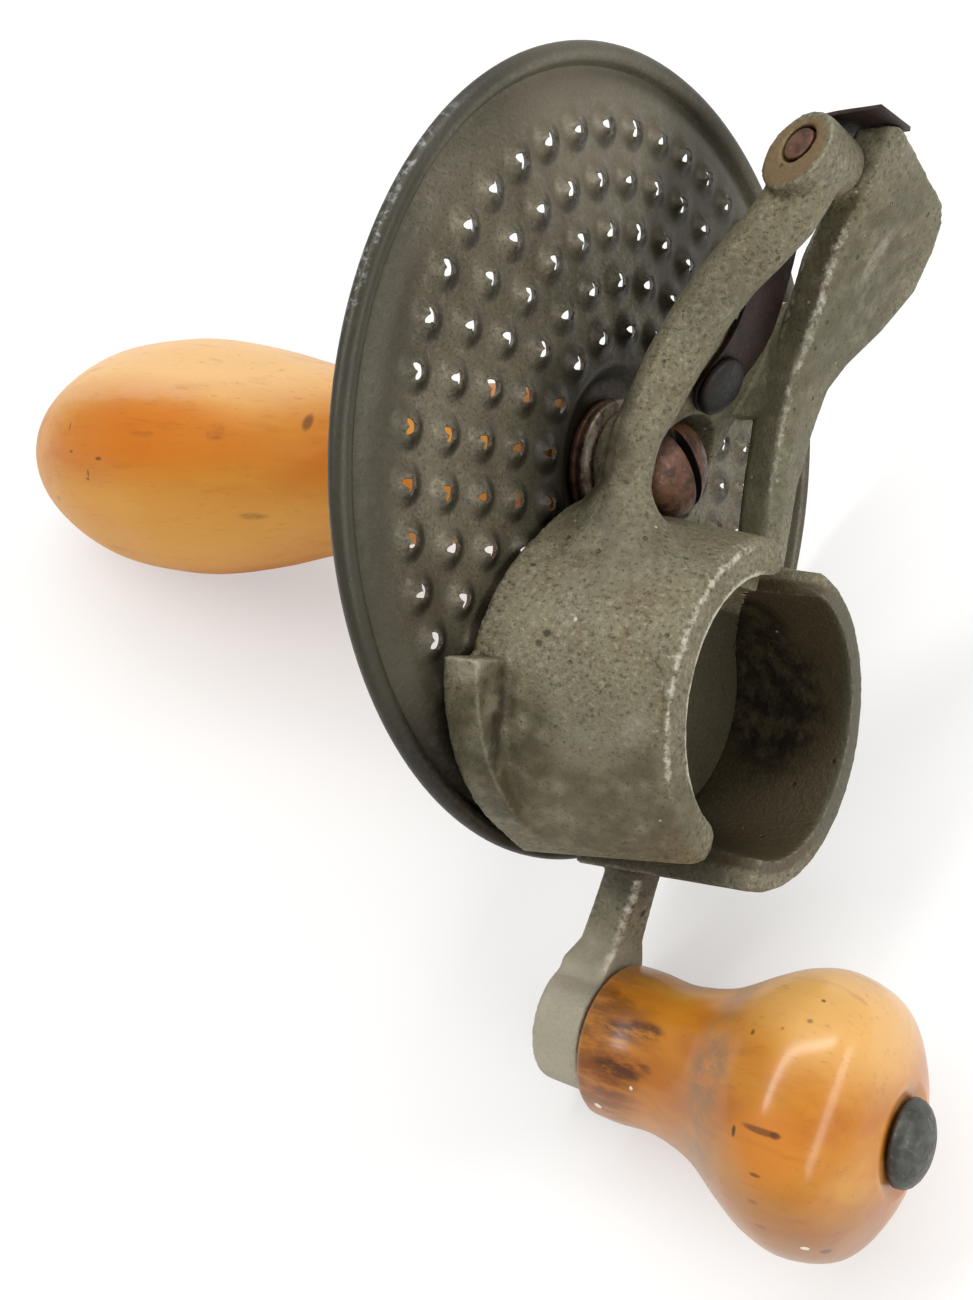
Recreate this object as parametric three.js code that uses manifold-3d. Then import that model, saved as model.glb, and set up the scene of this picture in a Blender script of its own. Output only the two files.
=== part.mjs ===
// Mechanical nutmeg grater: a wooden handle carries a round grating disc, and a cast frame with a
// two-part nutmeg cup, a sprung lever and a wooden crank knob turns on the screw in its middle.
//
// Every piece is built in the tool's own axes, in millimetres. The disc lies in the plane z = 0
// with its rim round the z axis, and the grating side faces +z. The frame reaches from the crank
// at -y through the screw at the origin to the lever's pivot at +y. The near half of the cup is at
// -x and the far half at +x. At the end the whole tool is laid on a table, +Z up.
import * as THREE from 'three';
import { mergeVertices } from 'three/addons/utils/BufferGeometryUtils.js';
import Module from 'manifold-3d';

const wasm = await Module();
wasm.setup();

// Gap between pieces that lie against or inside each other.
const gap = 0.3;

// Grating disc.
const discRadius = 44.45;
const sheet = 0.7;
const beadRadius = 1.1;
const fieldFront = 0.8;
const fieldRadius = 38.6;
const bandFront = -0.1;
const seatRadius = 9.2;
const seatDepth = 2.8;
const seatSlope = 3.2;

// Punched burrs, in rings from the middle outwards.
const ringRadius = 15.1;
const ringPitch = 5.25;
const ringCounts = [18, 24, 30, 36, 44];
const burrHeight = 0.85;
const burrBase = 1.9;
const burrTip = 1.5;
const burrHole = 1.2;

// Centre screw and washers.
const shankRadius = 2.6;
const headRadius = 5.2;
const headHeight = 3.4;
const screwDepth = 34;
const slotWidth = 1.3;
const slotDepth = 1.4;
const slotTurn = 122;
const washerRadius = 7.8;
const washerThickness = 0.8;
const collarThickness = 1.0;

// Handle.
const handleLength = 107;
const handleEndRadius = 9.0;
const handleNeckRadius = 10.2;
const handleGripRadius = 17.2;

// Frame: hub, strap with its thumb paddle, fixed cup and crank arm.
const hubRadius = 6.7;
const hubHeight = 5.4;
const headRecess = 0.9;
const plateThickness = 3.0;
const plateFar = 7.0;
const plateNear = -5.5;
const strapNear = 5.5;
const strapThickness = 4.2;
const strapFront = 16.4;
const cupY = -25.8;
const cupBore = 13.9;
const cupWall = 3.1;
const cupFront = 24;
const cupFlare = 0.07;
const cupSag = 0.4;
const partingAngle = 16;
const cupClearance = 0.45;
const armLeft = 2.2;
const armRight = 2.5;
const armThickness = 5.1;
const armFront = 9.4;
const crankLength = 63.9;
const bossRadius = 7.1;
const bossThickness = 6.2;
const bossBack = 0.2;
const bossOffset = 0.75;

// Pivot of the lever.
const pivotY = 30.6;
const pivotZ = 22.4;
const pinRadius = 1.65;
const pinNeckRadius = 1.0;
const knuckleRadius = 3.8;
const knuckleFarRadius = 3.0;
const knuckleNear = -8.0;
const knuckleNearRadius = 4.1;
const knuckleDrop = 0.7;
const knuckleTilt = -14;
const knuckleTurn = -24;
const knuckleReach = 4;
const lugNear = 0.8;
const lugRadius = 3.0;
const lugLength = 4.6;

// Lever: moving cup half, presser, finger tab and arm.
const moverY = -24.3;
const moverBore = 13.75;
const moverWall = 3.9;
const moverFront = 20;
const moverBaseWide = 23;
const moverBaseHigh = 20;
const moverBaseShift = 3.5;
const moverBaseFrom = 82.5;
const moverFrom = 86;
const moverTo = 239.5;
const tipRound = 1.8;
const presserFront = 10;
const presserThickness = 2.5;
const presserFit = 0.4;
const presserSwing = 1.6;
const gussetRadius = 7.5;
const gussetAngle = 84;
const tabCentreX = -8.5;
const tabCentreY = -20.2;
const tabRadius = 21.6;
const tabTop = -20.8;
const tabThickness = 3.8;
const tabTaper = 0.8;
const armX = -11.2;
const armZ = 8.5;
const armRadius = 2.6;
const footFillet = 7;
const hubSideFillet = 2.8;

// Leaf spring and its rivet.
const leafThickness = 0.45;
const leafWidth = 6.9;
const leafFoot = 6.6;
const leafLow = 0.35;
const leafCentre = 0.25;
const leafFlare = 0.2;
const rivetX = -2.2;
const rivetY = 9.2;
const rivetRadius = 1.7;
const rivetHeadRadius = 3.2;
const rivetHeadHeight = 1.3;
const hookReach = 5.9;

// Crank knob and its rivet.
const knobLength = 33.4;
const knobBaseRadius = 8.5;
const knobWaistRadius = 8.2;
const knobBulbRadius = 14.3;
const knobBulbAt = 25.4;
const studRadius = 2.3;
const studHeadRadius = 4.4;
const studHeadHeight = 2.6;

// Finish of each kind of surface.
const tinnedSheet = { color: 0x66625a, roughness: 0.5, metalness: 0.85 };
const tinnedCasting = { color: 0x7d7b68, roughness: 0.6, metalness: 0.75 };
const rustyIron = { color: 0x5a3a2c, roughness: 0.7, metalness: 0.6 };
const brightIron = { color: 0x9a948a, roughness: 0.45, metalness: 0.85 };
const darkSteel = { color: 0x2f201a, roughness: 0.6, metalness: 0.6 };
const blueSteel = { color: 0x3b4240, roughness: 0.5, metalness: 0.7 };
const mapleWood = { color: 0xd9933f, roughness: 0.45, metalness: 0 };
const varnishedWood = { color: 0xc47e32, roughness: 0.25, metalness: 0 };

// Solid of a closed geometry, with its faces turned outwards.
function solid(geometry) {
  const bare = geometry.clone();
  bare.deleteAttribute('normal');
  bare.deleteAttribute('uv');
  const merged = mergeVertices(bare, 1e-5);
  const vertProperties = new Float32Array(merged.attributes.position.array);
  const triVerts = new Uint32Array(merged.index.array);
  if (signedVolume(vertProperties, triVerts) < 0) {
    for (let i = 0; i < triVerts.length; i += 3) {
      const first = triVerts[i];
      triVerts[i] = triVerts[i + 1];
      triVerts[i + 1] = first;
    }
  }
  return new wasm.Manifold(new wasm.Mesh({ numProp: 3, vertProperties, triVerts }));
}

function signedVolume(points, triangles) {
  const a = new THREE.Vector3();
  const b = new THREE.Vector3();
  const c = new THREE.Vector3();
  let sum = 0;
  for (let i = 0; i < triangles.length; i += 3) {
    a.fromArray(points, 3 * triangles[i]);
    b.fromArray(points, 3 * triangles[i + 1]);
    c.fromArray(points, 3 * triangles[i + 2]);
    sum += a.dot(b.cross(c));
  }
  return sum / 6;
}

function geometryOf(body) {
  const mesh = body.getMesh();
  const geometry = new THREE.BufferGeometry();
  geometry.setAttribute('position', new THREE.BufferAttribute(new Float32Array(mesh.vertProperties), 3));
  geometry.setIndex(new THREE.BufferAttribute(new Uint32Array(mesh.triVerts), 1));
  geometry.computeVertexNormals();
  return geometry;
}

// Body turned round the z axis from a profile of [radius, z] points.
function turned(profile, segments) {
  const points = profile.map(([r, z]) => new THREE.Vector2(r, z));
  return solid(new THREE.LatheGeometry(points, segments).rotateX(Math.PI / 2));
}

// Cylinder along z from one height to another.
function rod(radius, from, to, segments = 24) {
  const geometry = new THREE.CylinderGeometry(radius, radius, to - from, segments);
  return solid(geometry.rotateX(Math.PI / 2).translate(0, 0, (from + to) / 2));
}

// Flat piece with an outline of [x, y] points, from one height to another.
function slab(outline, from, to) {
  const shape = new THREE.Shape(outline.map(([x, y]) => new THREE.Vector2(x, y)));
  const geometry = new THREE.ExtrudeGeometry(shape, { depth: to - from, bevelEnabled: false });
  return solid(geometry.translate(0, 0, from));
}

function box(x0, x1, y0, y1, z0, z1) {
  const geometry = new THREE.BoxGeometry(x1 - x0, y1 - y0, z1 - z0);
  return solid(geometry.translate((x0 + x1) / 2, (y0 + y1) / 2, (z0 + z1) / 2));
}

// Body that runs through a row of closed sections with the same number of points each.
function loft(sections) {
  const count = sections[0].length;
  const positions = [];
  const index = [];
  for (const section of sections) {
    for (const point of section) positions.push(point.x, point.y, point.z);
  }
  for (let s = 0; s + 1 < sections.length; s++) {
    for (let i = 0; i < count; i++) {
      const a = s * count + i;
      const b = s * count + (i + 1) % count;
      index.push(a, b, a + count, b, b + count, a + count);
    }
  }
  const last = (sections.length - 1) * count;
  const endCap = capTriangles(sections[sections.length - 1]);
  for (const [i, j, k] of capTriangles(sections[0])) index.push(i, k, j);
  for (const [i, j, k] of endCap) index.push(last + i, last + j, last + k);
  const geometry = new THREE.BufferGeometry();
  geometry.setAttribute('position', new THREE.Float32BufferAttribute(positions, 3));
  geometry.setIndex(index);
  return solid(geometry);
}

// Triangles of an end section, seen along the axis that it faces most, wound as the section runs.
function capTriangles(section) {
  const normal = new THREE.Vector3();
  section.forEach((point, i) => {
    normal.add(new THREE.Vector3().crossVectors(point, section[(i + 1) % section.length]));
  });
  const size = normal.clone().set(Math.abs(normal.x), Math.abs(normal.y), Math.abs(normal.z));
  let flat = section.map((p) => new THREE.Vector2(p.x, p.y));
  let facing = normal.z;
  if (size.x > size.y && size.x > size.z) {
    flat = section.map((p) => new THREE.Vector2(p.y, p.z));
    facing = normal.x;
  } else if (size.y > size.z) {
    flat = section.map((p) => new THREE.Vector2(p.z, p.x));
    facing = normal.y;
  }
  const order = section.map((p, i) => i);
  if (facing < 0) {
    flat.reverse();
    order.reverse();
  }
  const faces = THREE.ShapeUtils.triangulateShape(flat, []);
  return faces.map((face) => {
    const [i, j, k] = face.map((corner) => order[corner]);
    return facing < 0 ? [i, k, j] : [i, j, k];
  });
}

// Smooth curve through points given as [x, y, z].
function curveThrough(points) {
  return new THREE.CatmullRomCurve3(points.map((p) => new THREE.Vector3(...p)), false, 'centripetal');
}

function joined(...bodies) {
  return bodies.reduce((sum, body) => sum.add(body));
}

const tool = new THREE.Group();
function piece(name, body, finish) {
  const mesh = new THREE.Mesh(geometryOf(body), new THREE.MeshStandardMaterial(finish));
  mesh.name = name;
  tool.add(mesh);
}

// Heights of the stack on the screw, from the disc's seat forwards.
const seatFront = fieldFront - seatDepth;
const collarBack = seatFront + gap;
const collarFront = collarBack + washerThickness;
const washerBack = collarFront + gap;
const washerFront = washerBack + collarThickness;
const hubBack = washerFront + gap;
const hubFront = hubBack + hubHeight;
const headSeat = hubFront + gap;
const discBack = seatFront - sheet;
const ferruleFront = discBack - gap;
const ferruleBack = ferruleFront - washerThickness;
const handleFront = ferruleBack - gap;
const sweepClear = fieldFront + burrHeight + cupClearance;

// Grating disc: dished sheet with a rolled rim, a sunk seat for the hub and punched burrs.
function gratingDisc() {
  const slopeEnd = seatRadius + seatSlope;
  const beadCentre = discRadius - beadRadius;
  const profile = [
    [shankRadius + gap, seatFront - sheet],
    [seatRadius, seatFront - sheet],
    [slopeEnd, fieldFront - sheet],
    [fieldRadius - 0.4, fieldFront - sheet],
    [fieldRadius + 1.9, bandFront - sheet],
    [beadCentre - beadRadius, bandFront - sheet],
  ];
  for (let i = 1; i < 7; i++) {
    const a = Math.PI + (i / 7) * Math.PI * 1.85;
    profile.push([beadCentre + beadRadius * Math.cos(a), beadRadius * Math.sin(a)]);
  }
  profile.push([beadCentre - beadRadius * 0.8, bandFront]);
  profile.push([fieldRadius + 2.2, bandFront]);
  profile.push([fieldRadius + 1.0, fieldFront - 0.25]);
  profile.push([fieldRadius, fieldFront]);
  profile.push([slopeEnd, fieldFront]);
  profile.push([seatRadius, seatFront]);
  profile.push([shankRadius + gap, seatFront]);
  profile.push([shankRadius + gap, seatFront - sheet]);
  let disc = turned(profile, 64);

  const cones = [];
  const holes = [];
  ringCounts.forEach((count, ring) => {
    const radius = ringRadius + ring * ringPitch;
    for (let i = 0; i < count; i++) {
      const turn = (i / count) * 2 * Math.PI;
      cones.push(burr(radius, turn, burrBase, burrTip, fieldFront - sheet / 2, fieldFront + burrHeight));
      holes.push(burr(radius, turn, burrHole, burrHole, fieldFront - 2 * sheet, fieldFront + 2 * burrHeight));
    }
  });
  disc = disc.add(wasm.Manifold.union(cones));
  return disc.subtract(wasm.Manifold.union(holes));
}

// Three-sided tapered prism on a ring of the disc.
function burr(radius, turn, base, tip, from, to) {
  const geometry = new THREE.CylinderGeometry(tip, base, to - from, 3);
  geometry.rotateX(Math.PI / 2);
  geometry.translate(radius, 0, (from + to) / 2);
  geometry.rotateZ(turn);
  return solid(geometry);
}

// Outline of the handle from the disc backwards, as [radius, z] points.
function handleOutline() {
  const grip = handleGripRadius;
  const at = (radius, share) => new THREE.Vector3(radius, handleFront - share * handleLength, 0);
  const outline = new THREE.CatmullRomCurve3([
    at(handleEndRadius, 0.0093),
    at(handleNeckRadius - 0.5, 0.103),
    at(handleNeckRadius, 0.243),
    at(grip * 0.735, 0.393),
    at(grip * 0.885, 0.505),
    at(grip * 0.985, 0.607),
    at(grip, 0.682),
    at(grip * 0.96, 0.776),
    at(grip * 0.82, 0.86),
    at(grip * 0.6, 0.935),
    at(grip * 0.28, 0.986),
    at(grip * 0.1, 0.9986),
  ], false, 'centripetal');
  return outline.getPoints(22).map((p) => [p.x, p.y]);
}

// Handle: turned wood with a swelling grip, bored for the screw.
function handle() {
  const outline = handleOutline();
  const end = handleFront - handleLength;
  const profile = [[0, handleFront], [handleEndRadius - 1, handleFront], ...outline, [0, end]];
  const bore = rod(shankRadius + gap, handleFront - screwDepth - gap, handleFront + 1, 16);
  return turned(profile, 32).subtract(bore);
}

// Centre screw: slotted round head, plain shank and a point in the wood.
function centreScrew() {
  const tip = handleFront - screwDepth;
  const profile = [[0, tip], [shankRadius, tip + 5], [shankRadius, headSeat], [headRadius, headSeat]];
  for (let i = 1; i < 6; i++) {
    const a = (i / 6) * Math.PI / 2;
    profile.push([headRadius * Math.cos(a), headSeat + 0.5 + (headHeight - 0.5) * Math.sin(a)]);
  }
  profile.push([0, headSeat + headHeight]);
  const slotFloor = headSeat + headHeight - slotDepth;
  const reach = 2 * headRadius;
  const slot = box(-reach, reach, -slotWidth / 2, slotWidth / 2, slotFloor, slotFloor + 5);
  return turned(profile, 28).subtract(slot.rotate([0, 0, slotTurn]));
}

function washer(radius, from, to) {
  return rod(radius, from, to, 32).subtract(rod(shankRadius + gap, from - 1, to + 1, 20));
}

// Strap of the frame with the thumb paddle: rows of y, front height, near edge and far edge.
function strap() {
  const rows = [
    [cupY + cupBore + 2, strapFront - 0.2, strapNear, 10.2],
    [-0.7, strapFront, strapNear, 11.1],
    [6, strapFront + 0.4, strapNear, 12.8],
    [10.5, strapFront + 1.1, strapNear, 13.9],
    [13.6, strapFront + 2.2, strapNear - 0.4, 15.8],
    [18, strapFront + 4, strapNear - 1.4, 19.9],
    [pivotY - 7.6, pivotZ - 0.1, strapNear - 2.8, 23.3],
    [pivotY - 3.6, pivotZ + 2.4, lugNear + 0.8, 21.4],
    [pivotY - 1.3, pivotZ + 3.7, lugNear + 0.3, 19.8],
    [pivotY + 0.4, pivotZ + 4.5, lugNear, 17.4],
    [pivotY + 1.6, pivotZ + 4.9, lugNear, 12.0],
    [pivotY + 2.8, pivotZ + 5.2, lugNear, 7.6],
    [pivotY + 3.7, pivotZ + 5.4, lugNear, 3.6],
  ];
  const soft = 0.5;
  const crown = 0.4;
  const sections = rows.map(([y, z, near, far]) => {
    const back = z - strapThickness;
    const mid = near + (far - near) * 0.3;
    const corners = [
      [near + soft, z], [mid, z + crown], [far - soft, z], [far, z - soft],
      [far, back + soft], [far - soft, back], [mid, back], [near + soft, back],
      [near, back + soft], [near, z - soft],
    ];
    return corners.map(([x, depth]) => new THREE.Vector3(x, y, depth));
  });
  return loft(sections);
}

// Hub plate: its front rises from the hub to the back of the strap.
function hubPlate() {
  const low = hubBack + 1.2;
  const rows = [
    [-5, 6.4, low],
    [-2, 6.9, low],
    [1.2, 7.6, low + 0.3],
    [5.5, 9.8, 6.8],
    [rivetY, 12.0, 9.0],
    [rivetY + 3.5, 13.6, 10.6],
    [rivetY + 6.5, 14.2, 11.6],
  ];
  const sections = rows.map(([y, front, back], i) => {
    const near = i < 2 ? 2.4 : plateNear + (i > 4 ? 1.4 : 0);
    const far = plateFar;
    return [
      new THREE.Vector3(near + 0.5, y, front), new THREE.Vector3(far - 0.5, y, front),
      new THREE.Vector3(far, y, front - 0.5), new THREE.Vector3(far, y, back),
      new THREE.Vector3(near, y, back), new THREE.Vector3(near, y, front - 0.5),
    ];
  });
  return loft(sections);
}

// Neck that joins the hub plate to the back of the strap.
function strapNeck() {
  const rows = [
    [6.5, 8.0, 12.8],
    [rivetY + 1, 9.6, strapFront - strapThickness + 2],
    [rivetY + 6, 11.6, strapFront - strapThickness + 3.5],
    [rivetY + 9.5, 14.5, strapFront - strapThickness + 4.5],
  ];
  return loft(rows.map(([y, back, front]) => [
    new THREE.Vector3(strapNear, y, front), new THREE.Vector3(plateFar + 2, y, front),
    new THREE.Vector3(plateFar + 1, y, back), new THREE.Vector3(strapNear - 1, y, back),
  ]));
}

// Section of a half-round cup wall at a height, between two angles in degrees, with rounded tips.
function wallSection(z, bore, outer, from, to, tip) {
  const outside = arcPoints(outer, from, to, 16);
  const inside = arcPoints(bore, to, from, 14);
  const points = [
    ...outside, ...tipPoints(outside[outside.length - 1], inside[0], tip),
    ...inside, ...tipPoints(inside[inside.length - 1], outside[0], tip),
  ];
  return points.map((p) => new THREE.Vector3(p.x, p.y, z));
}

function arcPoints(round, from, to, steps) {
  const points = [];
  for (let i = 0; i <= steps; i++) {
    const a = THREE.MathUtils.degToRad(from + (to - from) * (i / steps));
    points.push(new THREE.Vector2(round.x + round.wide * Math.cos(a), round.y + round.high * Math.sin(a)));
  }
  return points;
}

// Rounded end of a wall from one corner to the other, standing out by the given length.
function tipPoints(start, end, length) {
  const middle = start.clone().add(end).multiplyScalar(0.5);
  const half = start.clone().sub(middle);
  const outward = new THREE.Vector2(-half.y, half.x).normalize();
  const points = [];
  for (let k = 1; k < 4; k++) {
    const a = (k / 4) * Math.PI;
    points.push(middle.clone()
      .addScaledVector(half, Math.cos(a))
      .addScaledVector(outward, length * Math.sin(a)));
  }
  return points;
}

function round(x, y, radius) {
  return { x, y, wide: radius, high: radius };
}

function fixedCup() {
  const outer = cupBore + cupWall;
  const bore = round(0, cupY, cupBore);
  const from = -90 - partingAngle;
  const to = 90 - partingAngle;
  const back = sweepClear;
  return loft([
    wallSection(back, bore, round(0, cupY - cupSag, outer + cupFlare * (cupFront - back)), from, to, 0.3),
    wallSection(cupFront - 0.8, bore, round(0, cupY - cupSag, outer), from, to, 0.3),
    wallSection(cupFront, bore, round(0, cupY - cupSag, outer - 0.5), from, to, 0.1),
  ]);
}

function crankArm() {
  const top = cupY - cupBore - 1.4;
  const foot = bossRadius * 0.46 - crankLength;
  const rows = [
    [0, armFront + 0.1, armRight],
    [0.2, armFront - 0.5, armRight],
    [0.41, armFront - 1.6, armRight + 0.5],
    [0.62, armFront - 2.8, armRight + 1.3],
    [0.74, bossBack + bossThickness, armRight + 2.0],
    [1, bossBack + bossThickness, armRight + 2.4],
  ];
  const sections = rows.map(([share, front, right], i) => {
    const y = THREE.MathUtils.lerp(top, foot, share);
    const left = armLeft + (i > 3 ? (i - 3) * 1.6 : 0);
    const back = Math.max(front - armThickness - (i > 3 ? 1 : 0), bossBack);
    return [
      new THREE.Vector3(-left + 0.5, y, front), new THREE.Vector3(right - 0.5, y, front),
      new THREE.Vector3(right, y, front - 0.5), new THREE.Vector3(right, y, back + 0.5),
      new THREE.Vector3(right - 0.5, y, back), new THREE.Vector3(-left + 0.5, y, back),
      new THREE.Vector3(-left, y, back + 0.5), new THREE.Vector3(-left, y, front - 0.5),
    ];
  });
  const boss = rod(bossRadius, bossBack, bossBack + bossThickness, 32)
    .translate([-bossOffset, bossOffset - crankLength, 0]);
  return loft(sections).add(boss);
}

function turningFrame() {
  const hub = rod(hubRadius, hubBack, hubFront + headRecess, 32);
  const lug = rod(lugRadius, lugNear, lugNear + lugLength, 20).rotate([0, 90, 0])
    .translate([0, pivotY, pivotZ]);
  const webTop = 2;
  const webLow = cupY + cupBore + 1.5;
  const webOutline = [[3.2, webTop], [plateFar, webTop], [plateFar + 0.8, webLow], [4.6, webLow]];
  const web = slab(webOutline, sweepClear, 6.2);
  let frame = joined(hub, hubPlate(), strapNeck(), web, strap(), lug, fixedCup(), crankArm());
  frame = frame.subtract(rod(cupBore, sweepClear - 1, cupFront + 1, 48).translate([0, cupY, 0]));
  frame = frame.subtract(rod(shankRadius + gap, hubBack - 5, hubFront + 2, 20));
  frame = frame.subtract(rod(headRadius + 0.8, headSeat - gap, headSeat + headHeight + 0.6, 28));
  frame = frame.subtract(rivetBore());
  frame = frame.subtract(pinBore(pinNeckRadius, lugNear - 1, lugNear + lugLength - 0.7));
  return frame.subtract(rod(studRadius + gap, bossBack - 1, bossBack + bossThickness + 1, 20)
    .translate([0, -crankLength, 0]));
}

// Bore for the pivot pin along x.
function pinBore(radius, from, to) {
  return rod(radius + gap, from, to, 20).rotate([0, 90, 0]).translate([0, pivotY, pivotZ]);
}

// Space on the near side of the knuckle's slanting end face.
function pastKnuckleFace() {
  return box(-20, 0, -20, 20, -20, 20).rotate([0, knuckleTilt, knuckleTurn])
    .translate([knuckleNear, pivotY, pivotZ]);
}

// The rivet stands square on the sloping plate.
const plateSlope = 26;
const plateLevel = 11.9;
function onPlate(body, lift) {
  return body.translate([0, 0, lift]).rotate([plateSlope, 0, 0]).translate([rivetX, rivetY, plateLevel]);
}

function rivetBore() {
  return onPlate(rod(rivetRadius + gap, -12, 4, 16), 0);
}

function springRivet() {
  const profile = [[0, -plateThickness - 0.6], [rivetRadius, -plateThickness - 0.6], [rivetRadius, 0]];
  profile.push([rivetHeadRadius, 0]);
  for (let i = 1; i < 5; i++) {
    const a = (i / 5) * Math.PI / 2;
    profile.push([rivetHeadRadius * Math.cos(a), 0.3 + (rivetHeadHeight - 0.3) * Math.sin(a)]);
  }
  profile.push([0, rivetHeadHeight]);
  return onPlate(turned(profile, 20), leafThickness + 2 * gap + 0.1);
}

// Leaf spring: a strip with a round foot under the rivet, up behind the knuckle and over its top.
function leafSpring() {
  const slope = Math.tan(plateSlope * Math.PI / 180);
  const lift = plateLevel + (gap + 0.1 + leafThickness / 2) / Math.cos(plateSlope * Math.PI / 180);
  const back = pivotZ - knuckleRadius - gap - leafThickness / 2 - 0.5;
  const top = pivotY + knuckleRadius - leafLow + gap + leafThickness / 2;
  const path = [
    [0, rivetY - 4, lift - 4 * slope],
    [0, rivetY, lift],
    [0, rivetY + 4, lift + 4 * slope - 0.1],
    [0, pivotY - 8.5, back - 0.9],
    [0, pivotY - 1, back],
    [0, top - 2.6, back + 0.5],
    [0, top - 0.5, back + 2.2],
    [0, top, pivotZ],
    [0, top, pivotZ + hookReach],
  ];
  const line = curveThrough(path).getSpacedPoints(26);
  const sections = line.map((point, i) => {
    const before = line[Math.max(i - 1, 0)];
    const after = line[Math.min(i + 1, line.length - 1)];
    const along = after.clone().sub(before).normalize();
    const across = new THREE.Vector3(0, -along.z, along.y).multiplyScalar(leafThickness / 2);
    const share = THREE.MathUtils.smoothstep(i, 1, 8);
    const flare = leafFlare * THREE.MathUtils.smoothstep(i, 16, 21) / 2;
    const half = THREE.MathUtils.lerp(leafFoot, leafWidth, share) / 2 + flare;
    const centre = THREE.MathUtils.lerp(rivetX, leafCentre, share) - flare;
    return [[-half, 1], [half, 1], [half, -1], [-half, -1]].map(([x, side]) =>
      new THREE.Vector3(centre + x, point.y + across.y * side, point.z + across.z * side));
  });
  const footEnd = box(-10, 10, -10, 0, -2, 4).subtract(rod(leafFoot / 2, -3, 5, 24));
  return loft(sections).subtract(onPlate(footEnd, 0)).subtract(rivetBore());
}

// Outline of the moving cup half where it meets the disc.
const moverBase = { x: -moverBaseShift, y: moverY, wide: moverBaseWide, high: moverBaseHigh };

// Moving cup half with its presser floor and finger tab.
function movingCup() {
  const base = sweepClear;
  const outer = moverBore + moverWall;
  const bore = round(-0.2, moverY, moverBore);
  const shell = loft([
    wallSection(base, bore, moverBase, moverBaseFrom, moverTo, tipRound),
    wallSection(moverFront - 0.9, bore, round(-0.3, moverY - 0.3, outer + 0.3), moverFrom, moverTo, tipRound),
    wallSection(moverFront, bore, round(-0.2, moverY - 0.3, outer - 0.4), moverFrom, moverTo, tipRound - 0.3),
  ]);
  const floorBack = presserFront - presserThickness;
  const bored = rod(cupBore - presserFit, floorBack - 1, moverFront, 48).translate([0, cupY, 0]);
  // The presser's lower edge moves down as the lever opens, so it keeps clear of the fixed wall.
  const inFixedBore = bored.intersect(bored.translate([0, presserSwing, 0]));
  const inMover = rod(moverBore + 0.4, floorBack, moverFront - 1, 48).translate([-0.2, moverY, 0]);
  const nearSide = box(-40, 0, -80, 40, 0, 40).rotate([0, 0, -partingAngle]).translate([-1.6, moverY, 0]);
  const reach = inMover.intersect(inFixedBore.add(nearSide));
  return joined(shell, reach.subtract(hollowOverPresser()), fingerTab(base));
}

// Space in front of the presser floor, with a hollow fillet up to the upper tip of the wall.
function hollowOverPresser() {
  const edge = cupBore - presserFit - gussetRadius;
  const high = presserFront + gussetRadius;
  const block = box(-40, edge, -40, 40, presserFront, 60);
  const above = box(-40, 40, -40, 40, high, 60);
  const fillet = solid(new THREE.CylinderGeometry(gussetRadius, gussetRadius, 80, 48))
    .translate([edge, 0, high]);
  return joined(block, above, fillet).rotate([0, 0, gussetAngle]).translate([0, cupY, 0]);
}

// Finger tab: a flat rib round the near side of the cup, its edge leaning in a little.
function fingerTab(base) {
  const start = 180 + THREE.MathUtils.radToDeg(Math.asin((tabCentreY - tabTop) / tabRadius));
  const outlineAt = (z, radius) => {
    const arc = arcPoints(round(tabCentreX, tabCentreY, radius), start, 268, 12);
    const inWall = -moverBore - 1.4;
    const inner = [[-10, moverY - moverBore - 1.2], [inWall, moverY - 2], [inWall, arc[0].y]];
    return [...arc.map((p) => [p.x, p.y]), ...inner].map(([x, y]) => new THREE.Vector3(x, y, z));
  };
  return loft([outlineAt(base, tabRadius), outlineAt(base + tabThickness, tabRadius - tabTaper)]);
}

// Arm of the lever: rows of centre and radius from the cup up to the knuckle.
function leverArm() {
  const rows = [
    [armX, -9, armZ, armRadius],
    [armX, -5.5, armZ, armRadius],
    [armX, -1.5, armZ, armRadius],
    [armX + 0.2, 2.5, armZ + 0.5, armRadius + 0.1],
    [-9.8, 6.0, 10.0, 2.8],
    [-8.8, 10.0, 11.2, 3.0],
    [-7.9, 14.0, 12.9, 3.0],
    [-6.9, 19.0, 15.9, 3.0],
    [-5.6, pivotY - 6.0, pivotZ - 1.9, 3.25],
    [-4.6, pivotY - 1.5, pivotZ - 0.1, 3.3],
  ];
  const line = curveThrough(rows.map(([x, y, z]) => [x, y, z]));
  const steps = 18;
  const sections = [];
  for (let i = 0; i <= steps; i++) {
    const t = i / steps;
    const point = line.getPoint(t);
    const along = line.getTangent(t);
    const row = t * (rows.length - 1);
    const low = Math.min(Math.floor(row), rows.length - 2);
    const radius = THREE.MathUtils.lerp(rows[low][3], rows[low + 1][3], row - low);
    const side = new THREE.Vector3(0, -along.z, along.y).normalize();
    const out = new THREE.Vector3().crossVectors(along, side).normalize();
    const section = [];
    for (let k = 0; k < 12; k++) {
      const a = (k / 12) * 2 * Math.PI;
      section.push(point.clone()
        .addScaledVector(side, radius * Math.cos(a))
        .addScaledVector(out, radius * Math.sin(a)));
    }
    sections.push(section);
  }
  return loft(sections);
}

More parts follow.
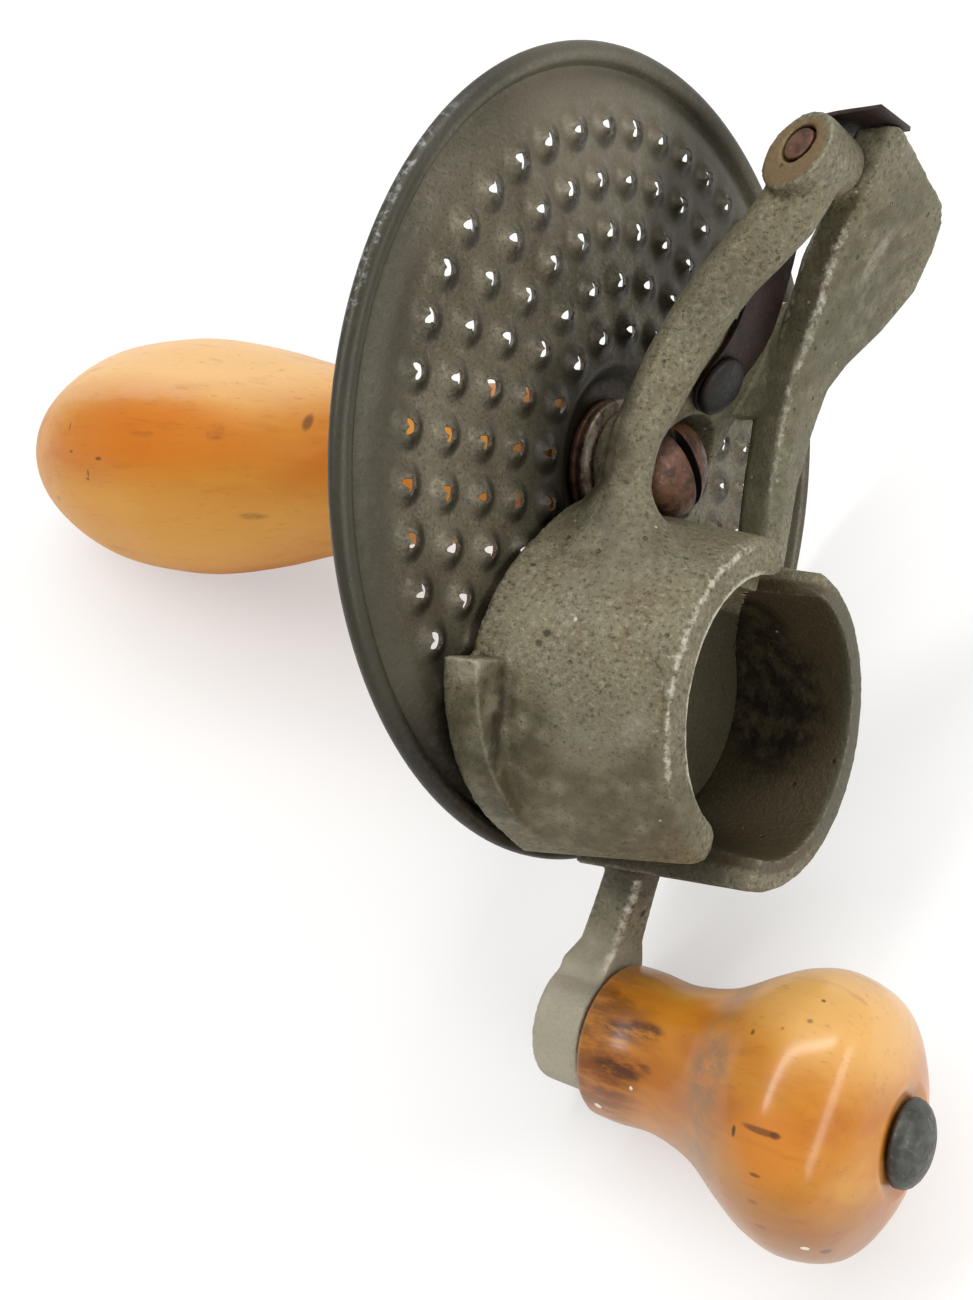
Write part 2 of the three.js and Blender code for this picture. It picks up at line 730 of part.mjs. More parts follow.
// Spread foot of the arm: a hollow fillet all round it, down to the outside of the moving cup.
function armFoot() {
  const outsideY = (x, z) => {
    const share = (z - sweepClear) / (moverFront - sweepClear);
    const wide = THREE.MathUtils.lerp(moverBase.wide, moverBore + moverWall, share);
    const high = THREE.MathUtils.lerp(moverBase.high, moverBore + moverWall, share);
    const centre = THREE.MathUtils.lerp(moverBase.x, 0, share);
    return moverY + high * Math.sqrt(Math.max(0, 1 - ((x - centre) / wide) ** 2));
  };
  const sections = [-1.6, 0, 0.25, 0.7, 1.4, 2.4, 3.8, 5.4, 6.8].map((height) => {
    const section = [];
    for (let k = 0; k < 20; k++) {
      const a = (k / 20) * 2 * Math.PI;
      const fillet = THREE.MathUtils.lerp(footFillet, hubSideFillet, Math.max(0, Math.cos(a)));
      const rise = Math.max(0, fillet - Math.max(height, 0));
      const radius = armRadius - 0.1 + fillet - Math.sqrt(fillet ** 2 - rise ** 2);
      const x = armX + radius * Math.cos(a);
      const z = armZ - radius * Math.sin(a);
      section.push(new THREE.Vector3(x, outsideY(x, z) + height, z));
    }
    return section;
  });
  return loft(sections).intersect(box(-40, 20, -60, 20, sweepClear, 60));
}

// Knuckle: a round boss, a little low of the pin, that narrows to its far end.
function knuckleBoss(start, far) {
  const ring = (x, y, radius) => {
    const section = [];
    for (let k = 0; k < 28; k++) {
      const a = (k / 28) * 2 * Math.PI;
      section.push(new THREE.Vector3(x, y + radius * Math.cos(a), pivotZ + radius * Math.sin(a)));
    }
    return section;
  };
  return loft([
    ring(start, pivotY - knuckleDrop, knuckleNearRadius),
    ring(knuckleNear + 2, pivotY - knuckleDrop, knuckleNearRadius),
    ring(far, pivotY, knuckleFarRadius),
  ]).subtract(pastKnuckleFace());
}

function hopperLever() {
  const far = lugNear - gap;
  const start = knuckleNear - knuckleReach;
  const knuckle = knuckleBoss(start, far);
  const arm = leverArm().add(armFoot())
    .subtract(rod(moverBore, 0, moverFront + 5, 40).translate([-0.2, moverY, 0]));
  let lever = joined(knuckle, arm, movingCup());
  lever = lever.subtract(rod(hubRadius + 0.5, -5, hubFront + headRecess + 0.5, 32));
  lever = lever.subtract(rod(headRadius + 0.4, -5, headSeat + headHeight + 0.7, 32));
  return lever.subtract(pinBore(pinRadius, start, far + 1));
}

// Pivot pin: near end flush with the knuckle's face, and a neck in a blind bore of the frame.
function pivotPin() {
  const start = knuckleNear - knuckleReach;
  const shoulder = lugNear - gap - start;
  const length = lugNear + lugLength - 1 - start;
  const profile = [
    [0, 0], [pinRadius, 0], [pinRadius, shoulder - 0.2],
    [pinNeckRadius, shoulder], [pinNeckRadius, length - 0.3], [0, length],
  ];
  return turned(profile, 20).rotate([0, 90, 0]).translate([start, pivotY, pivotZ])
    .subtract(pastKnuckleFace());
}

// Crank knob: turned wood, pear-shaped, bored for its rivet.
const knobBack = bossBack + bossThickness + gap;
function knobOutline() {
  return new THREE.CatmullRomCurve3([
    new THREE.Vector3(knobBaseRadius, 0.6, 0),
    new THREE.Vector3(knobBaseRadius, 3.5, 0),
    new THREE.Vector3(knobWaistRadius, 8.0, 0),
    new THREE.Vector3(knobWaistRadius + 1.2, knobBulbAt - 12.0, 0),
    new THREE.Vector3(knobBulbRadius * 0.86, knobBulbAt - 6.8, 0),
    new THREE.Vector3(knobBulbRadius * 0.965, knobBulbAt - 3.6, 0),
    new THREE.Vector3(knobBulbRadius, knobBulbAt, 0),
    new THREE.Vector3(knobBulbRadius * 0.9, knobBulbAt + 4.2, 0),
    new THREE.Vector3(knobBulbRadius * 0.66, knobLength - 1.4, 0),
    new THREE.Vector3(studHeadRadius + 1.2, knobLength, 0),
  ], false, 'centripetal').getPoints(18);
}

function crankKnob() {
  const profile = [[0, 0], [knobBaseRadius - 0.7, 0]];
  for (const p of knobOutline()) profile.push([p.x, p.y]);
  profile.push([studHeadRadius + 0.6, knobLength - 0.3]);
  profile.push([0, knobLength - 0.3]);
  const bore = rod(studRadius + gap, -1, knobLength + 1, 20);
  return turned(profile, 32).subtract(bore).translate([0, -crankLength, knobBack]);
}

// Knob rivet: a stud through the boss and the knob, with a domed head in front.
function knobRivet() {
  const headBack = knobBack + knobLength - 0.3 + gap;
  const profile = [
    [0, bossBack - 0.9], [studRadius + 0.9, bossBack - 0.9], [studRadius + 0.9, bossBack - gap],
    [studRadius, bossBack - gap], [studRadius, headBack], [studHeadRadius, headBack],
  ];
  for (let i = 1; i < 6; i++) {
    const a = (i / 6) * Math.PI / 2;
    profile.push([studHeadRadius * Math.cos(a), headBack + 0.5 + (studHeadHeight - 0.5) * Math.sin(a)]);
  }
  profile.push([0, headBack + studHeadHeight]);
  return turned(profile, 24).translate([0, -crankLength, 0]);
}

piece('handle', handle(), mapleWood);
piece('grating_disc', gratingDisc(), tinnedSheet);
piece('rear_washer', washer(washerRadius, ferruleBack, ferruleFront), brightIron);
piece('collar_washer', washer(washerRadius, collarBack, collarFront), rustyIron);
piece('bright_washer', washer(washerRadius, washerBack, washerFront), brightIron);
piece('centre_screw', centreScrew(), rustyIron);
piece('turning_frame', turningFrame(), tinnedCasting);
piece('leaf_spring', leafSpring(), darkSteel);
piece('spring_rivet', springRivet(), blueSteel);
piece('hopper_lever', hopperLever(), tinnedCasting);
piece('pivot_pin', pivotPin(), rustyIron);
piece('crank_knob', crankKnob(), varnishedWood);
piece('knob_rivet', knobRivet(), blueSteel);

// The tool lies on the rim of the disc, the end of the handle and the side of the knob.
function lieOnTable() {
  const outline = handleOutline();
  const lean = Math.min(...outline.map(([r, z]) => (discRadius - r) / -z));
  const knobSide = knobOutline().map((p) => (discRadius - p.x + (knobBack + p.y) * lean) / crankLength);
  const tilt = Math.atan(lean);
  const turn = Math.acos(Math.min(...knobSide));
  const front = new THREE.Vector3(Math.cos(tilt), 0, Math.sin(tilt));
  const down = new THREE.Vector3(Math.sin(tilt), 0, -Math.cos(tilt));
  const across = new THREE.Vector3(0, 1, 0);
  const far = down.clone().multiplyScalar(Math.sin(turn)).addScaledVector(across, Math.cos(turn));
  const up = down.clone().multiplyScalar(-Math.cos(turn)).addScaledVector(across, Math.sin(turn));
  tool.quaternion.setFromRotationMatrix(new THREE.Matrix4().makeBasis(far, up, front));
  const extent = new THREE.Box3().setFromObject(tool, true);
  tool.position.set(-(extent.min.x + extent.max.x) / 2, -(extent.min.y + extent.max.y) / 2, -extent.min.z);
}

lieOnTable();
const group = new THREE.Group();
group.add(tool);

export default group;
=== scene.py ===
"""Looks of a hand-cranked nutmeg grater: disc, cast crank frame, cast lever, wooden handle and knob."""

import math
import random

import bmesh
import bpy
import numpy as np
from mathutils import Euler, Matrix, Vector

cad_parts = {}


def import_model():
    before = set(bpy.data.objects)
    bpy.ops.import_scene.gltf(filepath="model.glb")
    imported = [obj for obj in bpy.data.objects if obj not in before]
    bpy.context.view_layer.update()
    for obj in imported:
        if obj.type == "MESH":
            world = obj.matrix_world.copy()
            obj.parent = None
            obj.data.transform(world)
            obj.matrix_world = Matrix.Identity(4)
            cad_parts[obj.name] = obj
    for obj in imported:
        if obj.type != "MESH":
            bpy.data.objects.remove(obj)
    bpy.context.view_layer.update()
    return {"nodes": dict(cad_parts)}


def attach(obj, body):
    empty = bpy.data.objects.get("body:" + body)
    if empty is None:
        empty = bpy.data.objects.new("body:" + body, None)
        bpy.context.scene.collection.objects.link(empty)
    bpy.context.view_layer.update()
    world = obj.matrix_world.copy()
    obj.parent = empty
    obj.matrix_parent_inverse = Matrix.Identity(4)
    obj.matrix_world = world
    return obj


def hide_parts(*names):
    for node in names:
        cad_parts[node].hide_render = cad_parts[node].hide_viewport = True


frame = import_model()

MM = 0.001

# The tool's own frame on the table: x to the far side, y up the strap, z out of the disc's front.
FAR = Vector((0.241053, 0.598648, -0.763881))
UP = Vector((-0.180154, 0.801012, 0.570897))
FRONT = Vector((0.953645, 0.0, 0.300935))
CENTRE = Vector((0.026851, 0.010539, 0.042378))
TURN = Matrix((FAR, UP, FRONT)).transposed()
TOOL = Matrix.Translation(CENTRE) @ TURN.to_4x4() @ Matrix.Scale(MM, 4)

# All sizes are millimetres in the tool's frame, and turns are degrees unless a name says radians.

# Disc: rolled bead, flat field, sloping wall and sunk seat.
DISC_RADIUS = 44.45
BEAD_RADIUS = 1.1
SHEET = 0.7
FIELD_FRONT = 0.8
FIELD_RADIUS = 38.6
BAND_FRONT = -0.1
SEAT_RADIUS = 9.2
SEAT_FRONT = -2.0
SLOPE_END = 12.4
RIM_SIDES = 180
SEAT_SIDES = 72

# Burrs: how many stand in each ring, and how far each ring is clogged, from the hub outwards.
RINGS = (18, 24, 30, 36, 44)
CLOGGED = (0.85, 0.45, 0.1, 0.0, 0.0)
RING_START = 15.1
RING_PITCH = 5.25
BURR_REACH = 2.5
BURR_STEPS = 24
BURR_WALL = 0.14
# The side of each burr that is painted darker as shade, as a turn in radians about the burr.
SHADED_SIDE_RADIANS = 5.9

# Screw and the washers under it, each washer from its back to its front.
BORE = 2.9
SHANK_RADIUS = 2.6
SCREW_DEPTH = 34.0
HEAD_SEAT = 6.35
HEAD_RADIUS = 5.2
HEAD_HEIGHT = 3.4
SLOT_WIDTH = 1.3
SLOT_DEPTH = 2.1
SLOT_TURN = 128
WASHER_RADIUS = 7.8
REAR_WASHER = (-3.8, -3.0)
COLLAR_WASHER = (-1.7, -0.9)
BRIGHT_WASHER = (-0.6, 0.4)

# Handle.
HANDLE_FRONT = -4.1
HANDLE_LENGTH = 107.0
HANDLE_END = 9.0
HANDLE_NECK = 10.2
HANDLE_GRIP = 17.2

# Cup, lever's pivot and spring's rivet.
CUP_Y = -25.8
PIVOT = Vector((-8.0, 30.6, 22.4))
KNUCKLE_FACING = (-0.886, 0.395, -0.242)
PIN_RADIUS = 1.65
PIN_NECK = 1.0
PIN_START = -12.0
PIN_SHOULDER = 0.5
PIN_END = 4.4
RIVET = Vector((-2.2, 9.2, 11.9))
RIVET_SLOPE = 26
RIVET_LIFT = 1.15
RIVET_RADIUS = 1.7
RIVET_HEAD = 3.2
RIVET_HEIGHT = 1.3
CASTING_VOXEL = 0.3

# Crank's end, knob and its stud.
CRANK = -63.9
KNOB_BACK = 6.7
KNOB_LENGTH = 33.4
KNOB_BASE = 8.5
KNOB_WAIST = 8.2
KNOB_BULB = 14.3
KNOB_BULB_AT = 25.4
KNOB_BORE = 2.6
STUD_RADIUS = 2.3
STUD_HEAD = 4.4
STUD_HEAD_BACK = 40.1
STUD_HEAD_HEIGHT = 2.6

# Camera in the tool's frame, fitted to the disc's outline; lens in millimetres.
CAMERA_STAND = Vector((-123.20243, -11.12237, 85.06532))
CAMERA_RIGHT = Vector((0.64202, 0.084514, 0.762017))
CAMERA_UP = Vector((0.0, 0.993905, -0.110233))
CAMERA_BACK = Vector((-0.766689, 0.070772, 0.638106))
CAMERA_LENS = 36.372

# Lamps: the place they face and the ends of the strips, in metres over the table.
LAMP_TARGET = Vector((0.04, -0.02, 0.03))
LEFT_END = (-0.34, -0.40, 0.60)
LEFT_FAR_CORNER = (-0.24, 0.26, 0.72)
FAR_END = (0.265, 0.49, 0.575)
RIGHT_FAR_END = (0.60, 0.42, 0.38)
RIGHT_NEAR_END = (0.46, -0.58, 0.30)

# Pale card under the tool, in metres: it shows shadows within the first radius and is white past the
# second.
CARD_SIZE = 6.0
SHADOW_RADIUS = 0.22
WHITE_RADIUS = 0.6


# Mesh helpers.

def deselect():
    if bpy.context.object and bpy.context.object.mode != "OBJECT":
        bpy.ops.object.mode_set(mode="OBJECT")
    bpy.ops.object.select_all(action="DESELECT")


def pick(obj):
    deselect()
    obj.select_set(True)
    bpy.context.view_layer.objects.active = obj


def apply_modifier(obj, kind, **settings):
    pick(obj)
    modifier = obj.modifiers.new(kind.title(), kind)
    for key, value in settings.items():
        setattr(modifier, key, value)
    bpy.ops.object.modifier_apply(modifier=modifier.name)


def ease_edges(obj, width, segments, degrees):
    apply_modifier(obj, "BEVEL", width=width, segments=segments, limit_method="ANGLE",
                   angle_limit=math.radians(degrees))


def smooth_by_angle(obj, degrees=35):
    pick(obj)
    bpy.ops.object.shade_smooth_by_angle(angle=math.radians(degrees))


def outward(obj):
    pick(obj)
    bpy.ops.object.mode_set(mode="EDIT")
    bpy.ops.mesh.select_all(action="SELECT")
    bpy.ops.mesh.remove_doubles(threshold=0.002)
    bpy.ops.mesh.normals_make_consistent(inside=False)
    bpy.ops.object.mode_set(mode="OBJECT")


def place(obj, offset=(0, 0, 0), turn=(0, 0, 0)):
    """Moves a piece in the tool's frame and keeps the move in its mesh."""
    pick(obj)
    obj.matrix_world = Matrix.Translation(offset) @ Euler(turn).to_matrix().to_4x4() @ obj.matrix_world
    bpy.ops.object.transform_apply(location=True, rotation=True, scale=True)


def settle(obj, body, finish, *nodes, slot):
    """Lays a finished piece on the table, gives it its finish and lets it ride on its body."""
    pick(obj)
    obj.matrix_world = TOOL @ obj.matrix_world
    bpy.ops.object.transform_apply(location=True, rotation=True, scale=True)
    obj.data.materials.clear()
    obj.data.materials.append(finish)
    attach(obj, body)
    if nodes:
        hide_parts(*nodes)
    return obj


def turned(name, outline, sides=64, close_start=True, close_end=True, smooth=35):
    """Extrudes and scales a ring of edges through an outline of (radius, z) points."""
    deselect()
    (radius, z) = outline[0]
    bpy.ops.mesh.primitive_circle_add(vertices=sides, radius=radius, location=(0, 0, z))
    obj = bpy.context.object
    obj.name = name
    bpy.ops.object.transform_apply(location=True, rotation=True, scale=True)
    bpy.ops.object.mode_set(mode="EDIT")
    bpy.ops.mesh.select_all(action="SELECT")
    if close_start:
        bpy.ops.mesh.extrude_edges_move()
        bpy.ops.mesh.merge(type="CENTER")
        bpy.ops.mesh.select_all(action="DESELECT")
        mesh = bmesh.from_edit_mesh(obj.data)
        for edge in mesh.edges:
            edge.select = edge.is_boundary
        mesh.select_flush(True)
        bmesh.update_edit_mesh(obj.data)
    for next_radius, next_z in outline[1:]:
        bpy.ops.mesh.extrude_edges_move(TRANSFORM_OT_translate={"value": (0, 0, next_z - z)})
        share = next_radius / radius
        bpy.ops.transform.resize(value=(share, share, 1), center_override=(0, 0, 0))
        radius, z = next_radius, next_z
    if close_end:
        bpy.ops.mesh.extrude_edges_move()
        bpy.ops.mesh.merge(type="CENTER")
    outward(obj)
    smooth_by_angle(obj, smooth)
    return obj


def curve_points(points, steps):
    """Smooth curve through points, as a list."""
    points = [Vector(p) for p in points]
    line = [2 * points[0] - points[1]] + points + [2 * points[-1] - points[-2]]
    found = []
    for a, b, c, d in zip(line, line[1:], line[2:], line[3:]):
        for i in range(steps):
            t = i / steps
            found.append(0.5 * (2 * b + (c - a) * t + (2 * a - 5 * b + 4 * c - d) * t * t
                                + (3 * b - a - 3 * c + d) * t ** 3))
    return found + [points[-1]]


def node_copy(node, name):
    """A copy of a CAD node in the tool's frame, in millimetres, with its loose triangles merged."""
    deselect()
    obj = frame["nodes"][node].copy()
    obj.data = obj.data.copy()
    for key in list(obj.keys()):
        del obj[key]
    obj.name = name
    bpy.context.scene.collection.objects.link(obj)
    obj.parent = None
    obj.matrix_world = TOOL.inverted()
    pick(obj)
    bpy.ops.object.transform_apply(location=True, rotation=True, scale=True)
    for layer in list(obj.data.uv_layers):
        obj.data.uv_layers.remove(layer)
    outward(obj)
    return obj


def mark_relief(obj, **rounds_of):
    """Stores how far each vertex stands above its smoothed surroundings, in millimetres."""
    mesh = obj.data
    count = len(mesh.vertices)
    place_of = np.empty(count * 3)
    mesh.vertices.foreach_get("co", place_of)
    place_of = place_of.reshape(-1, 3)
    facing = np.empty(count * 3)
    mesh.vertices.foreach_get("normal", facing)
    facing = facing.reshape(-1, 3)
    ends = np.empty(len(mesh.edges) * 2, int)
    mesh.edges.foreach_get("vertices", ends)
    ends = ends.reshape(-1, 2)
    one, two = np.r_[ends[:, 0], ends[:, 1]], np.r_[ends[:, 1], ends[:, 0]]
    degree = np.maximum(np.bincount(one, minlength=count), 1)[:, None]
    for name, rounds in rounds_of.items():
        soft = place_of.copy()
        for _ in range(rounds):
            total = np.stack([np.bincount(one, soft[two, k], count) for k in range(3)], 1)
            soft = total / degree
        height = ((place_of - soft) * facing).sum(1)
        attribute = mesh.attributes.new(name, "FLOAT", "POINT")
        attribute.data.foreach_set("value", height.astype(np.float32))


# Material helpers.

def linear(code):
    """sRGB hex colour as linear RGBA."""
    parts = [int(code[i:i + 2], 16) / 255 for i in (1, 3, 5)]
    return [p / 12.92 if p <= 0.04045 else ((p + 0.055) / 1.055) ** 2.4 for p in parts] + [1.0]


def add_node(tree, kind, inputs=None, **settings):
    """Adds a node; an input value that is a socket is linked, and anything else is set."""
    node = tree.nodes.new(kind)
    for key, value in settings.items():
        setattr(node, key, value)
    for key, value in (inputs or {}).items():
        if isinstance(value, bpy.types.NodeSocket):
            tree.links.new(value, node.inputs[key])
        else:
            node.inputs[key].default_value = value
    return node


def start_finish(name):
    """A material with its surface shader, and the Object coordinates turned to tool millimetres."""
    material = bpy.data.materials.new(name)
    material.use_nodes = True
    tree = material.node_tree
    tree.nodes.clear()
    coords = add_node(tree, "ShaderNodeTexCoord")
    mapping = add_node(tree, "ShaderNodeMapping", {
        "Vector": coords.outputs["Object"], "Location": CENTRE, "Rotation": TURN.to_euler(),
        "Scale": (MM, MM, MM)}, vector_type="TEXTURE")
    shader = add_node(tree, "ShaderNodeBsdfPrincipled")
    add_node(tree, "ShaderNodeOutputMaterial", {"Surface": shader.outputs["BSDF"]})
    return material, tree, mapping.outputs["Vector"], shader


def noise(tree, where, size, detail=3.0, roughness=0.55, stretch=(1, 1, 1), distortion=0.0):
    """Noise whose coarsest lumps are size millimetres across."""
    scaled = add_node(tree, "ShaderNodeMapping", {
        "Vector": where, "Scale": [s / size for s in stretch]}).outputs["Vector"]
    return add_node(tree, "ShaderNodeTexNoise", {
        "Vector": scaled, "Scale": 1.0, "Detail": detail, "Roughness": roughness,
        "Distortion": distortion}).outputs["Fac"]


def ramp(tree, value, low, high, to_low=0.0, to_high=1.0):
    """A soft step from to_low to to_high while the value goes from low to high."""
    return add_node(tree, "ShaderNodeMapRange", {
        "Value": value, "From Min": low, "From Max": high, "To Min": to_low, "To Max": to_high},
        interpolation_type="SMOOTHSTEP").outputs["Result"]


def maths(tree, operation, a, b=0.0):
    return add_node(tree, "ShaderNodeMath", {0: a, 1: b}, operation=operation).outputs[0]


def attribute(tree, name):
    return add_node(tree, "ShaderNodeAttribute", attribute_name=name).outputs["Fac"]


def blend_colours(tree, share, a, b):
    node = add_node(tree, "ShaderNodeMix", data_type="RGBA")
    for key, value in ((0, share), (6, a), (7, linear(b) if isinstance(b, str) else b)):
        if isinstance(value, bpy.types.NodeSocket):
            tree.links.new(value, node.inputs[key])
        else:
            node.inputs[key].default_value = value
    return node.outputs[2]


def near(tree, where, centre, reach, soft, stretch=(1, 1, 1), turn=0.0):
    """1 inside reach of a place, falling to 0 over soft millimetres.

    Stretch lengthens that along x, y and z, or without end where it is 0. Turn is in degrees about z, or
    three angles in radians.
    """
    turn = Euler((0, 0, math.radians(turn))) if isinstance(turn, (int, float)) else Euler(turn)
    moved = add_node(tree, "ShaderNodeMapping", {
        "Vector": where, "Location": centre, "Rotation": turn,
        "Scale": [s if s else 1e6 for s in stretch]}, vector_type="TEXTURE").outputs["Vector"]
    length = add_node(tree, "ShaderNodeVectorMath", {0: moved}, operation="LENGTH").outputs["Value"]
    return ramp(tree, length, reach, reach + soft, 1.0, 0.0)


def stains_and_painted_light(tree, where, colour, patches, marks):
    """Lays marks of another colour on a finish, real stains and painted light and shade alike; a mark
    with patches breaks up at its border.
    """
    for code, strength, patchy, centre, reach, soft, *shape in marks:
        share = maths(tree, "MULTIPLY", near(tree, where, centre, reach, soft, *shape), strength)
        if patchy:
            share = maths(tree, "MULTIPLY", share, patches)
        colour = blend_colours(tree, share, colour, code)
    return colour


def finish_bump(tree, shader, layers):
    """Bump from (height socket, depth in millimetres) layers."""
    normal = None
    for height, depth in layers:
        inputs = {"Height": height, "Distance": depth * MM, "Strength": 1.0}
        if normal is not None:
            inputs["Normal"] = normal
        normal = add_node(tree, "ShaderNodeBump", inputs).outputs["Normal"]
    tree.links.new(normal, shader.inputs["Normal"])


# Finishes.

def casting(name, marks, rubbed):
    """Sand-cast iron with dulled tin: grainy olive skin, dark in the creases, painted shade in broad
    hollows, bright on worn edges.
    """
    material, tree, where, shader = start_finish(name)
    colour = blend_colours(tree, ramp(tree, noise(tree, where, 7.0, 4.0, 0.6), 0.36, 0.64),
                           linear("#7a735a"), "#74705a")
    warm = ramp(tree, noise(tree, where, 4.2, 5.0, 0.65), 0.48, 0.7, 0.0, 0.75)
    colour = blend_colours(tree, warm, colour, "#695b41")
    sand = noise(tree, where, 0.55, 4.0, 0.68)
    grit = noise(tree, where, 0.36, 2.0, 0.5)
    colour = blend_colours(tree, ramp(tree, sand, 0.52, 0.68, 0.0, 0.6), colour, "#9c967e")
    colour = blend_colours(tree, ramp(tree, sand, 0.47, 0.32, 0.0, 0.7), colour, "#39331f")
    colour = blend_colours(tree, ramp(tree, grit, 0.42, 0.28, 0.0, 0.6), colour, "#2d2817")
    patches = ramp(tree, noise(tree, where, 2.2, 4.0, 0.65), 0.3, 0.62)
    broken = noise(tree, where, 1.1, 4.0, 0.75)
    ragged = maths(tree, "MULTIPLY", maths(tree, "SUBTRACT", broken, 0.5), 0.3)
    raised = maths(tree, "ADD", attribute(tree, "edges"), ragged)
    deep = maths(tree, "ADD", attribute(tree, "hollows"), ragged)
    colour = blend_colours(tree, ramp(tree, raised, -0.05, -0.2, 0.0, 0.8), colour, "#2c2212")
    # Painted shade: the broad hollows are darkened where shade falls in them.
    colour = blend_colours(tree, ramp(tree, deep, -0.3, -1.0, 0.0, 0.55), colour, "#332919")
    colour = stains_and_painted_light(tree, where, colour, patches, marks)
    cells = add_node(tree, "ShaderNodeTexVoronoi", {"Vector": where, "Scale": 0.6, "Randomness": 1.0})
    few = add_node(tree, "ShaderNodeSeparateColor", {"Color": cells.outputs["Color"]})
    some = maths(tree, "GREATER_THAN", few.outputs["Red"], 0.9)
    pit = maths(tree, "MULTIPLY", ramp(tree, cells.outputs["Distance"], 0.2, 0.1), some)
    colour = blend_colours(tree, maths(tree, "MULTIPLY", pit, 0.6), colour, "#1c1710")
    others = maths(tree, "GREATER_THAN", few.outputs["Green"], 0.93)
    chip = maths(tree, "MULTIPLY", ramp(tree, cells.outputs["Distance"], 0.12, 0.06), others)
    colour = blend_colours(tree, maths(tree, "MULTIPLY", chip, 0.7), colour, "#c9c4b2")
    touched = None
    for mark in rubbed:
        mask = near(tree, where, *mark)
        touched = mask if touched is None else maths(tree, "MAXIMUM", touched, mask)
    worn = ramp(tree, maths(tree, "ADD", raised, maths(tree, "MULTIPLY", touched, 0.06)), 0.12, 0.24)
    share = ramp(tree, touched, 0.0, 1.0, 0.15, 0.85)
    colour = blend_colours(tree, maths(tree, "MULTIPLY", worn, share), colour, "#d3cebd")
    tree.links.new(colour, shader.inputs["Base Color"])
    shader.inputs["Metallic"].default_value = 0.35
    tree.links.new(ramp(tree, sand, 0.3, 0.7, 0.6, 0.46), shader.inputs["Roughness"])
    finish_bump(tree, shader, [(sand, 0.14), (grit, 0.04), (maths(tree, "SUBTRACT", 1.0, pit), 0.15)])
    return material


def tinned_sheet(marks):
    """Tinned steel dulled to brown grey: satin, speckled, grime and painted shade round each burr, bright
    on torn lips.
    """
    material, tree, where, shader = start_finish("dulled_tinned_sheet")
    speck = noise(tree, where, 0.6, 3.0, 0.65)
    fine = noise(tree, where, 0.3, 2.0, 0.5)
    colour = blend_colours(tree, ramp(tree, noise(tree, where, 13.0, 4.0, 0.6), 0.35, 0.65),
                           linear("#5c5544"), "#6d6654")
    colour = blend_colours(tree, ramp(tree, speck, 0.5, 0.75, 0.0, 0.45), colour, "#8a836f")
    colour = blend_colours(tree, ramp(tree, fine, 0.48, 0.3, 0.0, 0.5), colour, "#2c261a")
    flat = add_node(tree, "ShaderNodeMapping", {"Vector": where, "Scale": (1, 1, 0)}).outputs["Vector"]
    radius = add_node(tree, "ShaderNodeVectorMath", {0: flat}, operation="LENGTH").outputs["Value"]
    ragged = maths(tree, "ADD", radius, maths(tree, "MULTIPLY", noise(tree, where, 5.0, 3.0), 1.5))
    # Painted shade on the shoulder, where the disc curves back towards the bead.
    shoulder = ramp(tree, ragged, FIELD_RADIUS - 0.6, FIELD_RADIUS + 2.2)
    colour = blend_colours(tree, maths(tree, "MULTIPLY", shoulder, 0.3), colour, "#46443a")
    # Painted shade on the sloping wall round the hub.
    hub = ramp(tree, ragged, SLOPE_END + 4.5, SLOPE_END + 0.5)
    colour = blend_colours(tree, maths(tree, "MULTIPLY", hub, 0.75), colour, "#2a2216")
    rim = ramp(tree, radius, DISC_RADIUS - 1.6, DISC_RADIUS - 0.9)
    colour = blend_colours(tree, maths(tree, "MULTIPLY", rim, 0.6), colour, "#343634")
    colour = stains_and_painted_light(tree, where, colour, ramp(tree, speck, 0.3, 0.6, 0.6, 1.0), marks)
    # Painted highlight along the bead's crest on its near-left stretch, broken up by noise.
    glint_breakup = ramp(tree, noise(tree, where, 1.0, 4.0, 0.7), 0.5, 0.6)
    line = near(tree, where, (-39.5, 20.0, 1.0), 10.0, 4.0)
    crest = ramp(tree, radius, DISC_RADIUS - 0.4, DISC_RADIUS - 0.2)
    line = maths(tree, "MULTIPLY", maths(tree, "MULTIPLY", line, crest), glint_breakup)
    colour = blend_colours(tree, maths(tree, "MULTIPLY", line, 0.7), colour, "#8b8f90")
    # Grime in the clogged burrs, and painted shade on one side of each burr and inside its hole.
    ground = maths(tree, "MULTIPLY", attribute(tree, "grime_and_shade"), ramp(tree, speck, 0.2, 0.6, 1.0, 0.75))
    colour = blend_colours(tree, ground, colour, "#1d1710")
    lips = maths(tree, "MULTIPLY", attribute(tree, "lip"), ramp(tree, speck, 0.35, 0.55))
    colour = blend_colours(tree, maths(tree, "MULTIPLY", lips, 0.22), colour, "#9d967f")
    tree.links.new(colour, shader.inputs["Base Color"])
    shader.inputs["Metallic"].default_value = 0.45
    tree.links.new(ramp(tree, speck, 0.3, 0.7, 0.5, 0.38), shader.inputs["Roughness"])
    finish_bump(tree, shader, [(noise(tree, where, 6.0, 2.0), 0.25), (speck, 0.03), (fine, 0.01)])
    return material


def worn_iron(name, base, spots, bright, metallic, rough, marks=()):
    """Small iron fitting: browned by rust in patches, rubbed bright where it is touched."""
    material, tree, where, shader = start_finish(name)
    broken = noise(tree, where, 1.8, 5.0, 0.65)
    fine = noise(tree, where, 0.6, 3.0, 0.6)
    colour = blend_colours(tree, ramp(tree, broken, 0.42, 0.6), linear(base), spots)
    colour = blend_colours(tree, ramp(tree, fine, 0.55, 0.8, 0.0, 0.6), colour, bright)
    colour = stains_and_painted_light(tree, where, colour, ramp(tree, broken, 0.3, 0.5), marks)
    tree.links.new(colour, shader.inputs["Base Color"])
    shader.inputs["Metallic"].default_value = metallic
    tree.links.new(ramp(tree, fine, 0.3, 0.7, rough + 0.12, rough - 0.06), shader.inputs["Roughness"])
    finish_bump(tree, shader, [(fine, 0.05), (broken, 0.08)])
    return material


